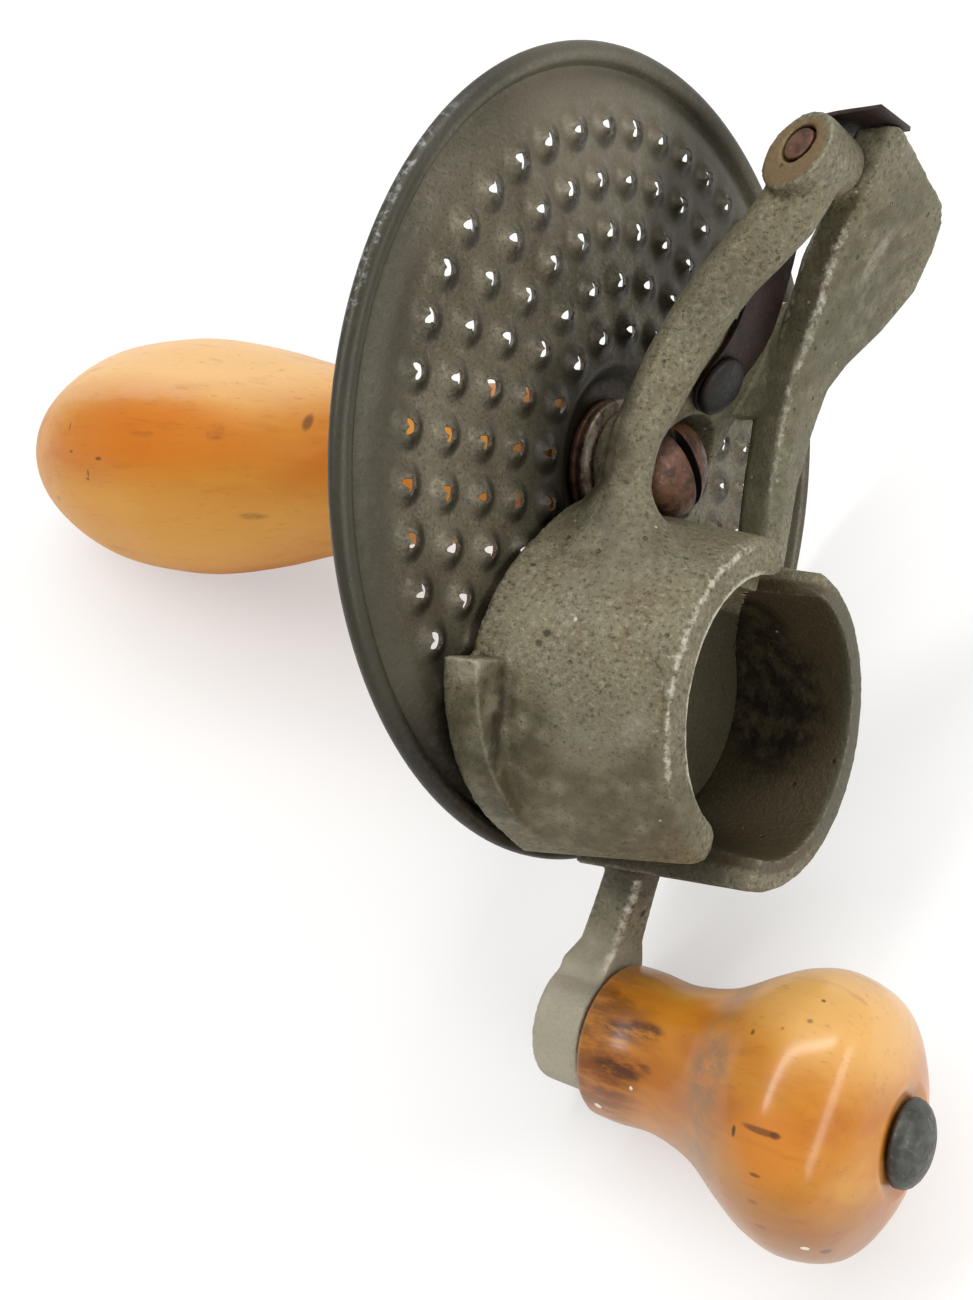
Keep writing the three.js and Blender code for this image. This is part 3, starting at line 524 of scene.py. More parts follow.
def wood(name, tones, across, rough, coat, washes, marks):
    """Turned maple under old varnish: faint grain along z, a warm depth, dents dark with handling."""
    material, tree, where, shader = start_finish(name)
    deep, middle, pale, streak = tones
    moved = add_node(tree, "ShaderNodeMapping", {
        "Vector": where, "Location": (-across[0], -across[1], 0)}).outputs["Vector"]
    broad = noise(tree, moved, 9.0, 3.0, 0.55, (1, 1, 0.3))
    grain = noise(tree, moved, 1.7, 4.0, 0.6, (1, 1, 0.07), 0.4)
    pores = noise(tree, moved, 0.45, 2.0, 0.5, (1, 1, 0.12))
    patches = ramp(tree, noise(tree, moved, 1.6, 5.0, 0.7, (1, 1, 0.3)), 0.36, 0.6)
    colour = blend_colours(tree, ramp(tree, broad, 0.34, 0.52), linear(deep), middle)
    colour = blend_colours(tree, ramp(tree, broad, 0.52, 0.7), colour, pale)
    colour = stains_and_painted_light(tree, where, colour, patches, washes)
    colour = blend_colours(tree, ramp(tree, grain, 0.54, 0.8, 0.0, 0.32), colour, streak)
    colour = blend_colours(tree, ramp(tree, pores, 0.6, 0.8, 0.0, 0.35), colour, streak)
    colour = stains_and_painted_light(tree, where, colour, patches, marks)
    tree.links.new(colour, shader.inputs["Base Color"])
    shader.inputs["Roughness"].default_value = rough
    shader.inputs["Specular IOR Level"].default_value = 0.25
    shader.inputs["Coat Weight"].default_value = coat
    shader.inputs["Coat Roughness"].default_value = 0.19
    finish_bump(tree, shader, [(grain, 0.03), (noise(tree, moved, 4.0, 2.0), 0.12)])
    return material


# Grating disc.

def burr(rng, clogged):
    """Rings of a punched burr with three torn petals, front to back, with each point's share of grime and
    painted shade, and its lip.
    """
    lean = rng.uniform(-1.1, 1.1)
    size = rng.uniform(0.86, 1.08)
    tall = [rng.uniform(0.7, 1.25) for _ in range(3)]
    rings = [[] for _ in range(8)]
    for k in range(BURR_STEPS):
        a = 2 * math.pi * k / BURR_STEPS
        turn = (a - lean) * 3 / (2 * math.pi)
        petal = 1 - 2 * abs(turn - round(turn))
        high = tall[round(turn) % 3]
        jag = rng.uniform(-0.05, 0.05)
        rim = (1.05 - 0.5 * petal) * size + jag
        top = 0.58 + 0.5 * petal * high + jag
        # Painted shade on one side of each burr and inside its hole; a clogged burr is dark all round
        # with grime.
        side = min(1.0, max(0.0, 0.25 + math.cos(a - SHADED_SIDE_RADIANS))) * (1 - clogged) + clogged
        rows = (
            (BURR_REACH, 0.0, 0.1 * side, 0),
            (2.1, 0.08, 0.75 * side, 0),
            (1.7, 0.25, 0.95 * side, 0),
            (1.3, 0.5, side, 0),
            (rim, top, 0.2 + 0.75 * side, 1 - clogged),
            (rim - BURR_WALL * 0.8, top - 0.05, 0.8, 0.3 * (1 - clogged)),
            (1.15, -0.05, 1.0, 0),
            (BURR_REACH, -SHEET, 0.3, 0))
        for ring, (radius, z, shade_and_grime_share, lip) in zip(rings, rows):
            ring.append((radius * math.cos(a), radius * math.sin(a), z + FIELD_FRONT, shade_and_grime_share, lip))
    return rings


def add_rings(mesh, rings, spin, layers=()):
    """Adds rings of points, placed by the matrix spin, and quads between them; returns the rings."""
    made = []
    for ring in rings:
        row = [mesh.verts.new(spin @ Vector(point[:3])) for point in ring]
        for layer, at in layers:
            for vert, point in zip(row, ring):
                vert[layer] = point[at]
        made.append(row)
    for one, two in zip(made, made[1:]):
        count = len(one)
        for k in range(count):
            j = (k + 1) % count
            mesh.faces.new((one[k], one[j], two[j], two[k]))
    return made


def circle(radius, z, sides):
    return [(radius * math.cos(2 * math.pi * k / sides), radius * math.sin(2 * math.pi * k / sides), z)
            for k in range(sides)]


def fill_field(skin, loops):
    """Fills the sheet between closed loops of points with triangles."""
    plate = bmesh.new()
    for loop in loops:
        verts = [plate.verts.new(p) for p in loop]
        for k in range(len(verts)):
            plate.edges.new((verts[k], verts[(k + 1) % len(verts)]))
    bmesh.ops.triangle_fill(plate, use_beauty=True, use_dissolve=False, edges=plate.edges[:])
    copied = {v: skin.verts.new(v.co) for v in plate.verts}
    for face in plate.faces:
        skin.faces.new([copied[v] for v in face.verts])
    plate.free()


def rim_outline():
    """Shoulder, band, rolled bead and their backs: (radius, z) points from the field and back."""
    field, bead = FIELD_RADIUS, DISC_RADIUS - BEAD_RADIUS
    front = [(field, FIELD_FRONT), (field + 0.5, FIELD_FRONT - 0.05), (field + 1.1, FIELD_FRONT - 0.18),
             (field + 1.7, FIELD_FRONT - 0.38), (field + 2.3, FIELD_FRONT - 0.6),
             (field + 2.9, BAND_FRONT - 0.02), (bead - 1.3, BAND_FRONT - 0.1)]
    roll = [(bead + BEAD_RADIUS * math.cos(a), BEAD_RADIUS * math.sin(a))
            for a in [math.radians(168 - 348 * i / 20) for i in range(21)]]
    back = [(bead - 1.3, BAND_FRONT - SHEET), (field + 2.9, BAND_FRONT - SHEET - 0.02),
            (field + 2.0, FIELD_FRONT - SHEET - 0.55), (field + 1.2, FIELD_FRONT - SHEET - 0.25),
            (field + 0.6, FIELD_FRONT - SHEET - 0.08), (field, FIELD_FRONT - SHEET)]
    return front + roll + back


def seat_outline():
    """Sloping wall, sunk seat, bore and their backs: (radius, z) points from the field and back."""
    field = SLOPE_END
    return [(field, FIELD_FRONT), (field - 0.5, FIELD_FRONT - 0.12), (field - 1.2, FIELD_FRONT - 0.7),
            (SEAT_RADIUS + 0.9, SEAT_FRONT + 0.5), (SEAT_RADIUS + 0.2, SEAT_FRONT + 0.08),
            (SEAT_RADIUS - 0.6, SEAT_FRONT), (BORE, SEAT_FRONT), (BORE, SEAT_FRONT - SHEET),
            (SEAT_RADIUS, SEAT_FRONT - SHEET), (SEAT_RADIUS + 0.9, SEAT_FRONT - SHEET + 0.4),
            (field - 0.9, FIELD_FRONT - SHEET - 0.6), (field, FIELD_FRONT - SHEET)]


def grating_disc():
    """One skin of sheet with every burr punched through it, and at each point its share of grime and
    painted shade and how torn it is.
    """
    rng = random.Random(7)
    skin = bmesh.new()
    grime_and_shade = skin.verts.layers.float.new("grime_and_shade")
    lip = skin.verts.layers.float.new("lip")
    loops_front, loops_back = [], []
    for ring, count in enumerate(RINGS):
        radius = RING_START + RING_PITCH * ring
        for i in range(count):
            turn = 2 * math.pi * i / count
            back = Matrix.Rotation(-turn, 4, "Z")
            spin = Matrix.Rotation(turn, 4, "Z") @ Matrix.Translation((radius, 0, 0)) @ back
            made = add_rings(skin, burr(rng, CLOGGED[ring]), spin, ((grime_and_shade, 3), (lip, 4)))
            loops_front.append([v.co.copy() for v in made[0]])
            loops_back.append([v.co.copy() for v in made[-1]])
    for loops, z in ((loops_front, FIELD_FRONT), (loops_back, FIELD_FRONT - SHEET)):
        loops.append([Vector(p) for p in circle(FIELD_RADIUS, z, RIM_SIDES)])
        loops.append([Vector(p) for p in circle(SLOPE_END, z, SEAT_SIDES)])
        fill_field(skin, loops)
    for outline, sides in ((rim_outline(), RIM_SIDES), (seat_outline(), SEAT_SIDES)):
        add_rings(skin, [circle(r, z, sides) for r, z in outline], Matrix.Identity(4))
    mesh = bpy.data.meshes.new("burred_disc")
    skin.to_mesh(mesh)
    skin.free()
    obj = bpy.data.objects.new("burred_disc", mesh)
    bpy.context.scene.collection.objects.link(obj)
    outward(obj)
    smooth_by_angle(obj, 50)
    return obj


# Handle, knob and fittings.

def handle():
    """Turned handle; its profile is given as radii at shares of the length from the disc's end."""
    grip = HANDLE_GRIP
    shares = ((HANDLE_END, 0.0093), (HANDLE_END + 0.7, 0.103), (HANDLE_NECK, 0.243),
              (grip * 0.735, 0.393), (grip * 0.885, 0.505), (grip * 0.985, 0.607), (grip, 0.682),
              (grip * 0.96, 0.776), (grip * 0.82, 0.86), (grip * 0.6, 0.935), (grip * 0.28, 0.986),
              (grip * 0.1, 0.9986))
    points = curve_points([(r, HANDLE_FRONT - s * HANDLE_LENGTH, 0) for r, s in shares], 5)
    outline = [(BORE, HANDLE_FRONT - 12.0), (BORE, HANDLE_FRONT), (HANDLE_END - 0.8, HANDLE_FRONT),
               (HANDLE_END - 0.2, HANDLE_FRONT - 0.4)]
    outline += [(p.x, p.y) for p in points]
    outline += [(grip * 0.04, HANDLE_FRONT - HANDLE_LENGTH + 0.02)]
    return turned("wooden_handle", outline, 96, smooth=60)


def knob():
    """Turned knob: a straight base, a waist and a bulb, bored through for its stud."""
    low, mid, bulb, at = KNOB_BASE, KNOB_WAIST, KNOB_BULB, KNOB_BULB_AT
    points = curve_points([
        (low, 0.6, 0), (low, 3.5, 0), (mid, 8.0, 0), (mid + 1.2, at - 12.0, 0),
        (bulb * 0.86, at - 6.8, 0), (bulb * 0.965, at - 3.6, 0), (bulb, at, 0),
        (bulb * 0.9, at + 4.2, 0), (bulb * 0.66, KNOB_LENGTH - 1.4, 0), (5.6, KNOB_LENGTH, 0)], 7)
    outline = [(KNOB_BORE, KNOB_LENGTH - 0.3), (KNOB_BORE, 0.0), (low - 0.7, 0.0), (low - 0.25, 0.15)]
    outline += [(p.x, p.y) for p in points]
    outline += [(5.0, KNOB_LENGTH - 0.3), (KNOB_BORE, KNOB_LENGTH - 0.3)]
    obj = turned("varnished_knob", outline, 96, False, False, smooth=50)
    place(obj, (0, CRANK, KNOB_BACK))
    return obj


def dome(radius, edge, height, steps=7):
    """Outline of a domed head from its rim inwards."""
    found = []
    for i in range(steps):
        a = i / steps * math.pi / 2
        found.append((radius * math.cos(a) if i else radius, edge + (height - edge) * math.sin(a)))
    return found


def centre_screw():
    """Round-head screw with its slot cut and its edges eased."""
    tip = HANDLE_FRONT - SCREW_DEPTH
    outline = [(0.2, tip), (SHANK_RADIUS, tip + 5), (SHANK_RADIUS, HEAD_SEAT),
               (HEAD_RADIUS - 0.4, HEAD_SEAT), (HEAD_RADIUS - 0.05, HEAD_SEAT + 0.2)]
    outline += [(r, HEAD_SEAT + z) for r, z in dome(HEAD_RADIUS, 0.6, HEAD_HEIGHT, 9)]
    outline += [(0.3, HEAD_SEAT + HEAD_HEIGHT)]
    obj = turned("slotted_screw", outline, 64, smooth=50)
    deselect()
    floor_at = HEAD_SEAT + HEAD_HEIGHT - SLOT_DEPTH
    bpy.ops.mesh.primitive_cube_add(size=1, location=(0, 0, floor_at + 2.5), scale=(14, SLOT_WIDTH, 5),
                                    rotation=(0, 0, math.radians(SLOT_TURN)))
    cutter = bpy.context.object
    apply_modifier(obj, "BOOLEAN", operation="DIFFERENCE", object=cutter, solver="EXACT")
    bpy.data.objects.remove(cutter)
    ease_edges(obj, 0.15, 2, 40)
    smooth_by_angle(obj, 40)
    return obj


def washer(name, back, front, bevel=0.18):
    rim = WASHER_RADIUS
    outline = [(BORE, back), (rim - bevel, back), (rim, back + bevel), (rim, front - bevel),
               (rim - bevel, front), (BORE, front), (BORE, back)]
    return turned(name, outline, 96, False, False, smooth=50)


def spring_rivet():
    outline = [(0.2, -3.6), (RIVET_RADIUS, -3.6), (RIVET_RADIUS, 0.0), (RIVET_HEAD - 0.2, 0.0),
               (RIVET_HEAD, 0.12)]
    outline += dome(RIVET_HEAD, 0.3, RIVET_HEIGHT, 9) + [(0.1, RIVET_HEIGHT)]
    obj = turned("spring_rivet_head", outline, 48, smooth=50)
    place(obj, (0, 0, RIVET_LIFT))
    place(obj, RIVET, (math.radians(RIVET_SLOPE), 0, 0))
    return obj


def pivot_pin():
    """Pin with a necked far end, cut off flush with the knuckle's leaning end."""
    outline = [(0.2, PIN_START), (PIN_RADIUS, PIN_START), (PIN_RADIUS, PIN_SHOULDER - 0.2),
               (PIN_NECK, PIN_SHOULDER), (PIN_NECK, PIN_END - 0.3), (0.2, PIN_END)]
    obj = turned("pivot_pin_end", outline, 48, smooth=40)
    place(obj, (0, PIVOT.y, PIVOT.z), (0, math.radians(90), 0))
    pick(obj)
    bpy.ops.object.mode_set(mode="EDIT")
    bpy.ops.mesh.select_all(action="SELECT")
    bpy.ops.mesh.bisect(plane_co=PIVOT, plane_no=KNUCKLE_FACING, use_fill=True, clear_outer=True)
    bpy.ops.object.mode_set(mode="OBJECT")
    ease_edges(obj, 0.22, 3, 50)
    smooth_by_angle(obj, 50)
    return obj


def knob_stud():
    """Stud with a flat head behind the crank's boss and a domed head in front of the knob."""
    back = STUD_HEAD_BACK
    outline = [(0.2, -0.7), (3.0, -0.7), (3.2, -0.5), (3.2, -0.1), (STUD_RADIUS, -0.1),
               (STUD_RADIUS, back), (STUD_HEAD - 0.2, back), (STUD_HEAD, back + 0.2)]
    outline += [(r, back + z) for r, z in dome(STUD_HEAD, 0.5, STUD_HEAD_HEIGHT)]
    outline += [(0.2, back + STUD_HEAD_HEIGHT)]
    obj = turned("domed_knob_stud", outline, 64, smooth=50)
    place(obj, (0, CRANK, 0))
    return obj


def cast_piece(node, name):
    """A casting's skin: the node's solid remeshed fine, its edges rounded as sand leaves them."""
    obj = node_copy(node, name)
    apply_modifier(obj, "REMESH", mode="VOXEL", voxel_size=CASTING_VOXEL, adaptivity=0.0)
    apply_modifier(obj, "SMOOTH", factor=0.5, iterations=3)
    # The second relief, over 60 rounds, marks broad hollows that the casting finish darkens as painted
    # shade.
    mark_relief(obj, edges=8, hollows=60)
    pick(obj)
    bpy.ops.object.shade_smooth()
    return obj


def leaf_spring():
    obj = node_copy("leaf_spring", "bent_leaf_spring")
    ease_edges(obj, 0.15, 2, 50)
    smooth_by_angle(obj, 40)
    return obj


# Scene.

def seen_directly(tree):
    """1 for a ray from the camera, also after it has passed through something clear."""
    path = add_node(tree, "ShaderNodeLightPath")
    return maths(tree, "MAXIMUM", path.outputs["Is Camera Ray"], path.outputs["Is Transmission Ray"])


def camera():
    data = bpy.data.cameras.new("view_camera")
    data.sensor_width = 36.0
    data.lens = CAMERA_LENS
    data.clip_start = 0.01
    data.clip_end = 20.0
    obj = bpy.data.objects.new("view_camera", data)
    bpy.context.scene.collection.objects.link(obj)
    turn = (TURN @ Matrix((CAMERA_RIGHT, CAMERA_UP, CAMERA_BACK)).transposed()).to_4x4()
    obj.matrix_world = Matrix.Translation(CENTRE + TURN @ CAMERA_STAND * MM) @ turn
    bpy.context.scene.camera = obj


def strip_lamp(name, one, two, width, strength):
    """A long soft lamp between two places, facing the tool; its strength is how bright it looks."""
    one, two = Vector(one), Vector(two)
    middle = (one + two) / 2
    away = (middle - LAMP_TARGET).normalized()
    along = two - one
    across = away.cross(along).normalized()
    flat_along = across.cross(away).normalized()
    data = bpy.data.lights.new(name, "AREA")
    data.shape = "RECTANGLE"
    data.size = along.length
    data.size_y = width
    data.energy = strength * math.pi * data.size * data.size_y
    obj = bpy.data.objects.new(name, data)
    turn = Matrix((flat_along, across, away)).transposed().to_4x4()
    obj.matrix_world = Matrix.Translation(middle) @ turn
    bpy.context.scene.collection.objects.link(obj)


def world():
    """A pale room that lights the tool softly and is seen as plain white."""
    made = bpy.data.worlds.new("pale_room")
    bpy.context.scene.world = made
    made.use_nodes = True
    tree = made.node_tree
    tree.nodes.clear()
    seen = seen_directly(tree)
    room = add_node(tree, "ShaderNodeBackground", {"Color": linear("#f4f2ee"), "Strength": 0.5})
    plain = add_node(tree, "ShaderNodeBackground", {"Color": linear("#ffffff"), "Strength": 1.0})
    mix = add_node(tree, "ShaderNodeMixShader", {0: seen, 1: room.outputs[0], 2: plain.outputs[0]})
    add_node(tree, "ShaderNodeOutputWorld", {"Surface": mix.outputs[0]})


def floor():
    """Pale card that takes the tool's shadow and brightens to plain white away from it."""
    deselect()
    bpy.ops.mesh.primitive_plane_add(size=CARD_SIZE, location=(0, 0, 0))
    obj = bpy.context.object
    obj.name = "pale_floor"
    material = bpy.data.materials.new("pale_card")
    material.use_nodes = True
    tree = material.node_tree
    tree.nodes.clear()
    seen = seen_directly(tree)
    matt = add_node(tree, "ShaderNodeBsdfDiffuse", {"Color": linear("#f7f7f6")})
    glow = add_node(tree, "ShaderNodeEmission", {"Color": linear("#ffffff"), "Strength": 1.12})
    where = add_node(tree, "ShaderNodeTexCoord").outputs["Object"]
    distance = add_node(tree, "ShaderNodeVectorMath", {0: where}, operation="LENGTH").outputs["Value"]
    share = maths(tree, "MULTIPLY", seen, ramp(tree, distance, SHADOW_RADIUS, WHITE_RADIUS, 0.4, 1.0))
    mix = add_node(tree, "ShaderNodeMixShader", {0: share, 1: matt.outputs[0], 2: glow.outputs[0]})
    add_node(tree, "ShaderNodeOutputMaterial", {"Surface": mix.outputs[0]})
    obj.data.materials.append(material)


# Marks. Each is (colour, strength, patchy, centre, reach, soft, stretch, turn), the last five as in near,
# and a patchy one breaks up at its border. A wash lies under the grain of the wood, and a mark over it.

def on_knob(angle, z, radius):
    """A place on the knob at an angle about its axis and a height above its base."""
    a = math.radians(angle)
    return (radius * math.cos(a), CRANK + radius * math.sin(a), KNOB_BACK + z)


def on_handle(angle, z, radius):
    """A place on the handle at an angle about its axis and a height z, negative behind the disc."""
    a = math.radians(angle)
    return (radius * math.cos(a), radius * math.sin(a), z)


def frame_finish():
    """Crank frame: dirt and painted shade in its cup half, painted shade at the cup's root and the
    crank's top, painted light on the strap's side, a stained strap, a pale boss.
    """
    marks = [
        # Dirt and painted shade inside the cup half, then painted shade at the cup's root.
        ("#4b3f29", 0.85, False, (0, CUP_Y, 12.0), 15.0, 0.7, (1, 1, 0)),
        ("#110c05", 0.9, True, (13.7, -25.0, 14.5), 4.0, 5.0, (1, 1.3, 1)),
        ("#171106", 0.75, True, (9.6, -15.8, 12.1), 3.5, 3.0),
        ("#5a4f38", 0.5, True, (7.0, -38.0, 20.0), 3.0, 4.0),
        ("#53513f", 0.85, False, (14.0, -24.0, 24.2), 9.0, 4.0, (1, 1.6, 0.12)),
        # Painted light on the strap's side face.
        ("#8f8d74", 0.7, False, (5.3, 2.5, 14.2), 3.0, 3.5, (0.12, 3.2, 1.2), (0.35, 0, 0)),
        ("#4f4930", 0.8, True, (11.0, 22.0, 22.0), 6.0, 6.0, (1, 1.5, 1)),
        ("#5c5741", 0.65, True, (6.3, 6.3, 16.9), 5.0, 6.0, (1, 1.5, 1)),
        ("#c2bba6", 0.7, False, (-4.0, -61.0, 3.0), 6.0, 6.0),
        ("#8f8975", 0.5, True, (0, -52.0, 6.0), 6.0, 4.0),
        ("#b5b09f", 0.6, True, (-6.0, -58.0, 2.6), 2.2, 2.0),
        ("#181209", 0.9, False, (1.0, -49.4, 7.5), 0.35, 0.3),
        ("#2a2014", 0.3, True, (0.0, 6.5, 9.5), 3.5, 3.0),
        ("#4a3423", 0.55, True, (-4.5, 7.0, 10.5), 2.4, 2.0),
        ("#b9b6a8", 0.45, True, (9.8, 24.0, 23.3), 0.5, 0.9, (1, 3.2, 3)),
        # Painted shade at the top of the crank arm, under the lever's cup.
        ("#241d11", 0.7, False, (-4.0, -43.0, 12.0), 4.0, 4.0, (2, 1, 1.6)),
    ]
    rubbed = [
        ((4.0, 14.0, 19.0), 2.6, 3.0, (1, 5.5, 1.6)),
        ((-1.5, -50.0, 7.5), 2.0, 2.0, (1, 3.5, 1)),
    ]
    return casting("tinned_casting_frame", marks, rubbed)


def lever_finish():
    """Cup lever: brown knuckle, painted shade under the knuckle and on the arm's sides, dark cup floor,
    dark lines on the tab, small pits.
    """
    marks = [
        ("#7e6440", 0.8, False, (-8.3, 29.8, 22.2), 3.3, 0.6, (2, 1, 1)),
        # Painted shade on the arm's side towards the strap.
        ("#241c10", 0.7, False, (-1.8, 21.0, 16.0), 2.4, 2.6, (1, 2, 1.2)),
        ("#352e1c", 0.8, False, (4.0, -25.0, 10.0), 13.0, 2.0, (1, 1, 0.25)),
        ("#3a341c", 0.8, True, (-25.8, -30.0, 6.0), 4.0, 3.0, (1, 1.6, 1)),
        # Painted shade under the knuckle and on the arm's left side by the hub.
        ("#4a4130", 0.35, True, (-9.5, 20.0, 15.5), 2.5, 4.0, (1, 1.6, 1)),
        ("#3a3122", 0.8, True, (-14.0, 1.0, 6.5), 2.5, 3.0, (1, 2.2, 1)),
        ("#2b2011", 0.8, True, (-25.6, -26.0, 6.0), 0.5, 0.7, (1, 6.6, 2.5)),
        ("#2b2011", 0.75, True, (-22.6, -34.6, 6.0), 0.45, 0.9, (1, 5.5, 2.5), 36),
        ("#9a957f", 0.7, True, (-29.4, -20.9, 4.2), 1.5, 1.3),
        ("#3b3526", 0.5, True, (-12.0, -12.0, 9.0), 5.0, 4.0),
        ("#4f4832", 0.75, True, (-18.0, -35.0, 13.0), 5.5, 6.0, (1, 1, 1.6)),
        ("#1a150d", 0.8, False, (-22.2, -18.0, 8.4), 0.24, 0.3),
        ("#2a2416", 0.7, False, (-22.7, -19.0, 7.9), 0.2, 0.3),
        ("#d2cdbb", 0.7, False, (-20.5, -16.4, 10.4), 0.1, 0.12, (1, 1.6, 1)),
        ("#a9a693", 0.35, True, (-19.0, -26.3, 17.3), 0.6, 1.8),
        ("#9c9a86", 0.35, True, (-20.4, -28.6, 13.6), 1.0, 2.4, (1, 1, 2.2)),
    ]
    rubbed = [
        ((-13.0, -18.0, 19.8), 11.0, 4.0, (1, 1.1, 0.2)),
        ((-20.0, -32.0, 19.8), 3.0, 3.0, (1, 1.6, 0.6)),
        ((-6.5, 29.5, 26.2), 1.4, 1.5),
    ]
    return casting("tinned_casting_lever", marks, rubbed)


def sheet_finish():
    """Disc: painted light on the top, painted shade beside the strap, low down, left of the hub and under
    the cup, and a darker near edge.
    """
    return tinned_sheet([
        # Painted light on the top of the disc.
        ("#7f7867", 0.5, False, (-12.0, 34.0, 0.8), 6.0, 12.0),
        # Painted shade beside the strap, low on the disc, left of the hub and under the cup; the band
        # along the near edge is darker.
        ("#2a2416", 0.85, True, (10.0, 28.5, 0.8), 7.0, 7.0, (1, 1.4, 1)),
        ("#3b382a", 0.75, True, (-40.4, 8.0, 0.0), 2.8, 3.0, (1, 9, 1)),
        ("#3a3526", 0.6, True, (-33.0, -26.0, 0.0), 4.0, 7.0, (1, 1.8, 1)),
        ("#19150d", 0.85, True, (-22.0, -38.0, 0.0), 5.0, 7.0, (2.2, 1, 1), -30),
        ("#1b150d", 0.7, True, (-12.9, 1.6, 0.8), 3.0, 4.0, (1, 2, 1)),
        ("#2b2417", 0.6, True, (6.0, -26.0, 0.0), 9.0, 8.0),
    ])


def screw_finish():
    """Rusty screw with painted shade in its slot and where its head sits in the hub."""
    slot_place = (0, 0, HEAD_SEAT + HEAD_HEIGHT - 1.2)
    marks = [
        # Painted shade in the slot and round the seat of the head.
        ("#0b0705", 0.97, False, slot_place, 0.72, 0.05, (14, 1, 3), SLOT_TURN),
        ("#0e0a07", 0.9, False, (0, 0, HEAD_SEAT - 0.3), 0.8, 0.5, (14, 14, 1)),
    ]
    return worn_iron("rusty_screw_iron", "#6f4d39", "#4a3327", "#9a7763", metallic=0.35, rough=0.45,
                     marks=marks)


def handle_finish():
    """Handle: painted shade at the disc, a painted highlight on top, painted floor light low on its side,
    warm on its near side, a pale streak, dents and scratches.
    """
    washes = [
        # Painted shade at the disc end.
        ("#3a2310", 0.7, False, (0, 0, -4.0), 3.0, 9.0, (2.2, 2.2, 1)),
        # Painted highlight along the top.
        ("#fdd49a", 0.75, False, on_handle(118, -70, 17.0), 6.0, 9.0, (1, 1, 4)),
        ("#d4740c", 0.7, False, on_handle(176, -64, 17.0), 3.0, 5.0, (1, 1, 4)),
        # Painted light reflected from the floor, low on the side.
        ("#dda040", 0.75, False, on_handle(-130, -70, 17.0), 6.0, 8.0, (1, 1, 4)),
    ]
    marks = [
        ("#eab083", 0.45, True, on_handle(153, -70, 17.0), 0.8, 1.4, (1, 1, 22)),
        ("#553013", 0.75, False, on_handle(-173, -76.7, 17.1), 0.16, 0.18, (2, 1, 3)),
        ("#5c3716", 0.7, False, on_handle(-163, -80, 16.8), 0.16, 0.2, (2, 1, 2)),
        ("#5c3716", 0.8, False, on_handle(-166, -79.7, 16.8), 0.18, 0.2, (2, 2, 1)),
        ("#4a2c12", 0.75, False, on_handle(180, -86.9, 15.9), 0.18, 0.2, (2, 1, 2)),
        ("#5c3716", 0.8, False, on_handle(172, -85.0, 16.3), 0.2, 0.2, (2, 3, 1)),
        ("#5c3716", 0.75, False, on_handle(-176, -83.9, 16.5), 0.18, 0.2, (2, 1, 2)),
        ("#a0571d", 0.7, True, on_handle(175, -67.3, 17.2), 0.3, 0.4, (2, 1, 5)),
        ("#8f4f1c", 0.55, True, on_handle(172, -54.5, 15.2), 0.7, 0.9, (2, 1, 1.3)),
        ("#6a3c17", 0.75, False, on_handle(161, -40.6, 11.2), 0.45, 0.5, (2, 1.6, 1.2)),
        ("#5c3716", 0.6, True, on_handle(-142, -49.2, 14.0), 0.3, 0.4, (2, 1, 7), 10),
        ("#5c3716", 0.6, True, on_handle(-118, -50.9, 14.3), 0.25, 0.3, (2, 1, 3)),
        ("#6a4420", 0.6, False, on_handle(-148, -92.1, 14.6), 0.3, 0.4, (2, 1, 2)),
    ]
    tones = ("#c87216", "#d08425", "#dc9638", "#a65b14")
    return wood("worn_maple", tones, (0, 0), 0.45, 0.08, washes, marks)


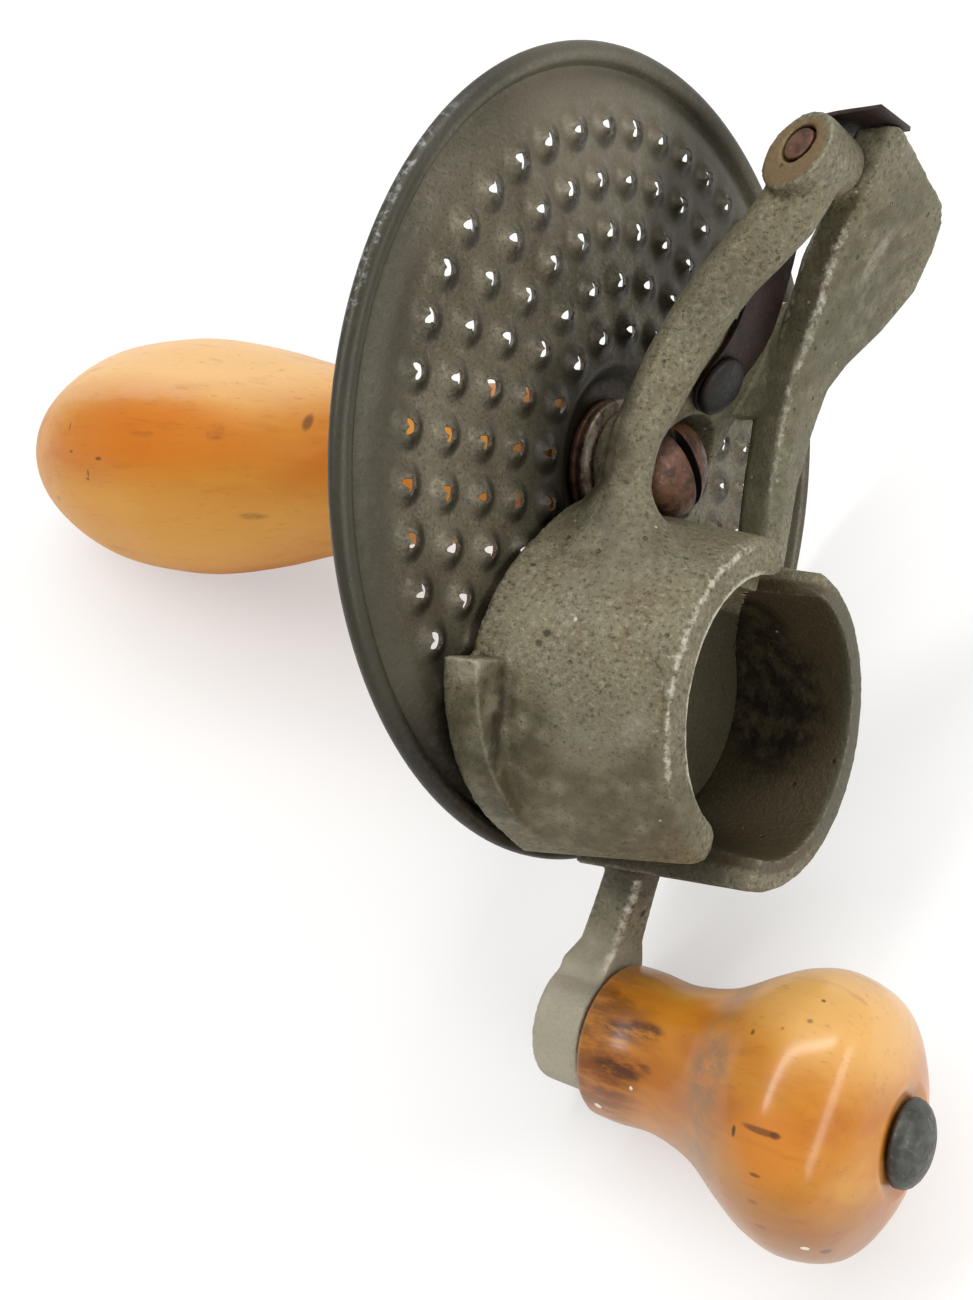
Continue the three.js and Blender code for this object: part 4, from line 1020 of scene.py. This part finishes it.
def knob_finish():
    """Knob: browned base, grey waist, painted light atop the bulb and painted shade below it, scratches
    and dents round the bulb, and small pale chips.
    """
    washes = [
        # Painted shade on the lower side of the bulb.
        ("#8f5c2c", 0.55, False, on_knob(-112, 28.5, 11.5), 3.5, 7.0),
        ("#9a5a20", 0.4, False, (0, CRANK, KNOB_BACK), 3.0, 7.0, (2.5, 2.5, 1)),
        # Painted light on the top of the bulb.
        ("#e6b56c", 0.75, False, on_knob(100, 27, 13.0), 5.5, 7.0),
        # Painted shade on the lower side of the bulb.
        ("#9c6a38", 0.55, False, on_knob(-120, 22, 12.0), 7.0, 9.0),
        ("#d5832a", 0.7, False, on_knob(178, 25.5, 14.0), 2.2, 3.0),
    ]
    marks = [
        ("#5a2c10", 0.6, True, on_knob(165, 3.0, 8.5), 3.0, 4.5, (1, 1.5, 1)),
        ("#4c260f", 0.35, True, on_knob(100, 2.0, 8.5), 1.8, 3.5, (1.4, 1, 1)),
        ("#6e3a17", 0.45, True, on_knob(-150, 2.4, 8.5), 2.2, 4.0),
        ("#4a230c", 0.85, True, on_knob(151, 4.6, 8.4), 0.5, 0.6, (1, 1, 2.2)),
        ("#4a230c", 0.85, True, on_knob(145, 7.5, 8.2), 0.6, 0.6, (1, 1, 2.6)),
        ("#4a230c", 0.85, True, on_knob(178, 5.4, 8.3), 0.6, 0.6, (1, 1, 3.4)),
        ("#4a230c", 0.8, True, on_knob(171, 7.8, 8.2), 0.4, 0.5, (1, 1, 2.5)),
        ("#8a6b45", 0.4, True, (0, CRANK, KNOB_BACK + 17.0), 9.0, 5.0, (1.3, 1.3, 0.25)),
        ("#7a5f3a", 0.6, True, on_knob(157, 17.6, 11.5), 1.6, 2.8),
        ("#85683f", 0.35, True, on_knob(-175, 17.9, 11.5), 1.2, 2.6, (1, 1.6, 1)),
        ("#43250e", 0.85, False, on_knob(175, 22.4, 13.9), 0.15, 0.14, (2, 2.4, 1)),
        ("#6a3a15", 0.8, False, on_knob(171, 25.4, 14.3), 0.16, 0.2, (2, 1.2, 8), 8),
        ("#5a3012", 0.75, False, on_knob(171, 26.6, 14.2), 0.14, 0.14, (2, 1.6, 2.4)),
        ("#54300f", 0.7, False, on_knob(-172, 25.1, 14.3), 0.12, 0.14, (2, 1, 2.8)),
        ("#7a4a1f", 0.5, False, on_knob(-160, 24.8, 14.3), 0.12, 0.2, (2, 1, 2.4)),
        ("#7a4a1f", 0.5, False, on_knob(-148, 25.2, 14.3), 0.12, 0.2, (2, 1, 2.6)),
        ("#54300f", 0.7, False, on_knob(136, 21.3, 13.5), 0.13, 0.14, (2, 1.4, 1.2)),
        ("#7a4a1f", 0.6, False, on_knob(132, 24.2, 14.2), 0.12, 0.14),
        ("#6a3a15", 0.6, False, on_knob(125, 26.2, 14.2), 0.1, 0.14, (2, 1, 1.6)),
        ("#4c2a0e", 0.75, False, on_knob(113, 26.2, 14.2), 0.14, 0.14),
        ("#6a4a1f", 0.7, False, on_knob(84, 32.4, 9.6), 0.25, 0.2, (2, 1, 1)),
        ("#5a3012", 0.8, False, on_knob(-130, 30.1, 12.4), 0.25, 0.2, (2, 1, 1.6)),
        ("#f6e6d0", 0.9, False, on_knob(-171, 7.2, 8.2), 0.16, 0.1),
        ("#f6e6d0", 0.9, False, on_knob(-143, 2.5, 8.5), 0.26, 0.12, (2, 1, 1.4)),
        ("#f6e6d0", 0.9, False, on_knob(149, 32.6, 9.4), 0.22, 0.12),
        ("#f6e6d0", 0.9, False, on_knob(-137, 28.8, 13.4), 0.2, 0.12, (2, 1, 1.6)),
    ]
    tones = ("#b66a17", "#c67f1f", "#d29331", "#8a4a12")
    return wood("varnished_maple", tones, (0, CRANK), 0.4, 0.75, washes, marks)


bpy.context.scene.view_settings.view_transform = "Standard"
camera()
world()
floor()
strip_lamp("left_strip", LEFT_END, LEFT_FAR_CORNER, width=0.10, strength=9.5)
strip_lamp("far_strip", LEFT_FAR_CORNER, FAR_END, width=0.10, strength=9.5)
strip_lamp("right_strip", RIGHT_FAR_END, RIGHT_NEAR_END, width=0.16, strength=4.2)

cast_frame = frame_finish()
cast_lever = lever_finish()
sheet = sheet_finish()
rusty = screw_finish()
# Base, rust spots and bright specks: rubbed grey, oxidised nearly black, black, and dull grey.
bright = worn_iron("rubbed_washer_iron", "#8b8171", "#5a4636", "#cdc4b2", metallic=0.6, rough=0.36)
spring_steel = worn_iron("oxidised_spring_steel", "#1f130e", "#2c1912", "#3e281e", metallic=0.35,
                         rough=0.5)
dark_iron = worn_iron("dark_rivet_iron", "#161917", "#21160f", "#303432", metallic=0.4, rough=0.45)
stud_iron = worn_iron("grey_stud_iron", "#4f504b", "#40413c", "#70726b", metallic=0.45, rough=0.45)
maple = handle_finish()
varnish = knob_finish()

settle(handle(), "stock", maple, "handle", slot="maple_wood")
settle(grating_disc(), "stock", sheet, "grating_disc", slot="tinned_sheet")
settle(washer("rear_spacer", *REAR_WASHER), "stock", bright, "rear_washer", slot="bright_iron")
settle(washer("rusty_spacer", *COLLAR_WASHER), "stock", rusty, "collar_washer", slot="rusty_iron")
settle(washer("bright_spacer", *BRIGHT_WASHER, bevel=0.3), "stock", bright, "bright_washer",
       slot="bright_iron")
settle(centre_screw(), "stock", rusty, "centre_screw", slot="rusty_iron")
settle(cast_piece("turning_frame", "cast_crank_frame"), "crank_frame", cast_frame, "turning_frame",
       slot="tinned_casting")
settle(leaf_spring(), "crank_frame", spring_steel, "leaf_spring", slot="spring_steel")
settle(spring_rivet(), "crank_frame", dark_iron, "spring_rivet", slot="dark_rivet")
settle(cast_piece("hopper_lever", "cast_cup_lever"), "lever", cast_lever, "hopper_lever",
       slot="tinned_casting")
settle(pivot_pin(), "crank_frame", rusty, "pivot_pin", slot="rusty_iron")
settle(knob(), "knob", varnish, "crank_knob", slot="varnished_wood")
settle(knob_stud(), "crank_frame", stud_iron, "knob_rivet", slot="dark_rivet")
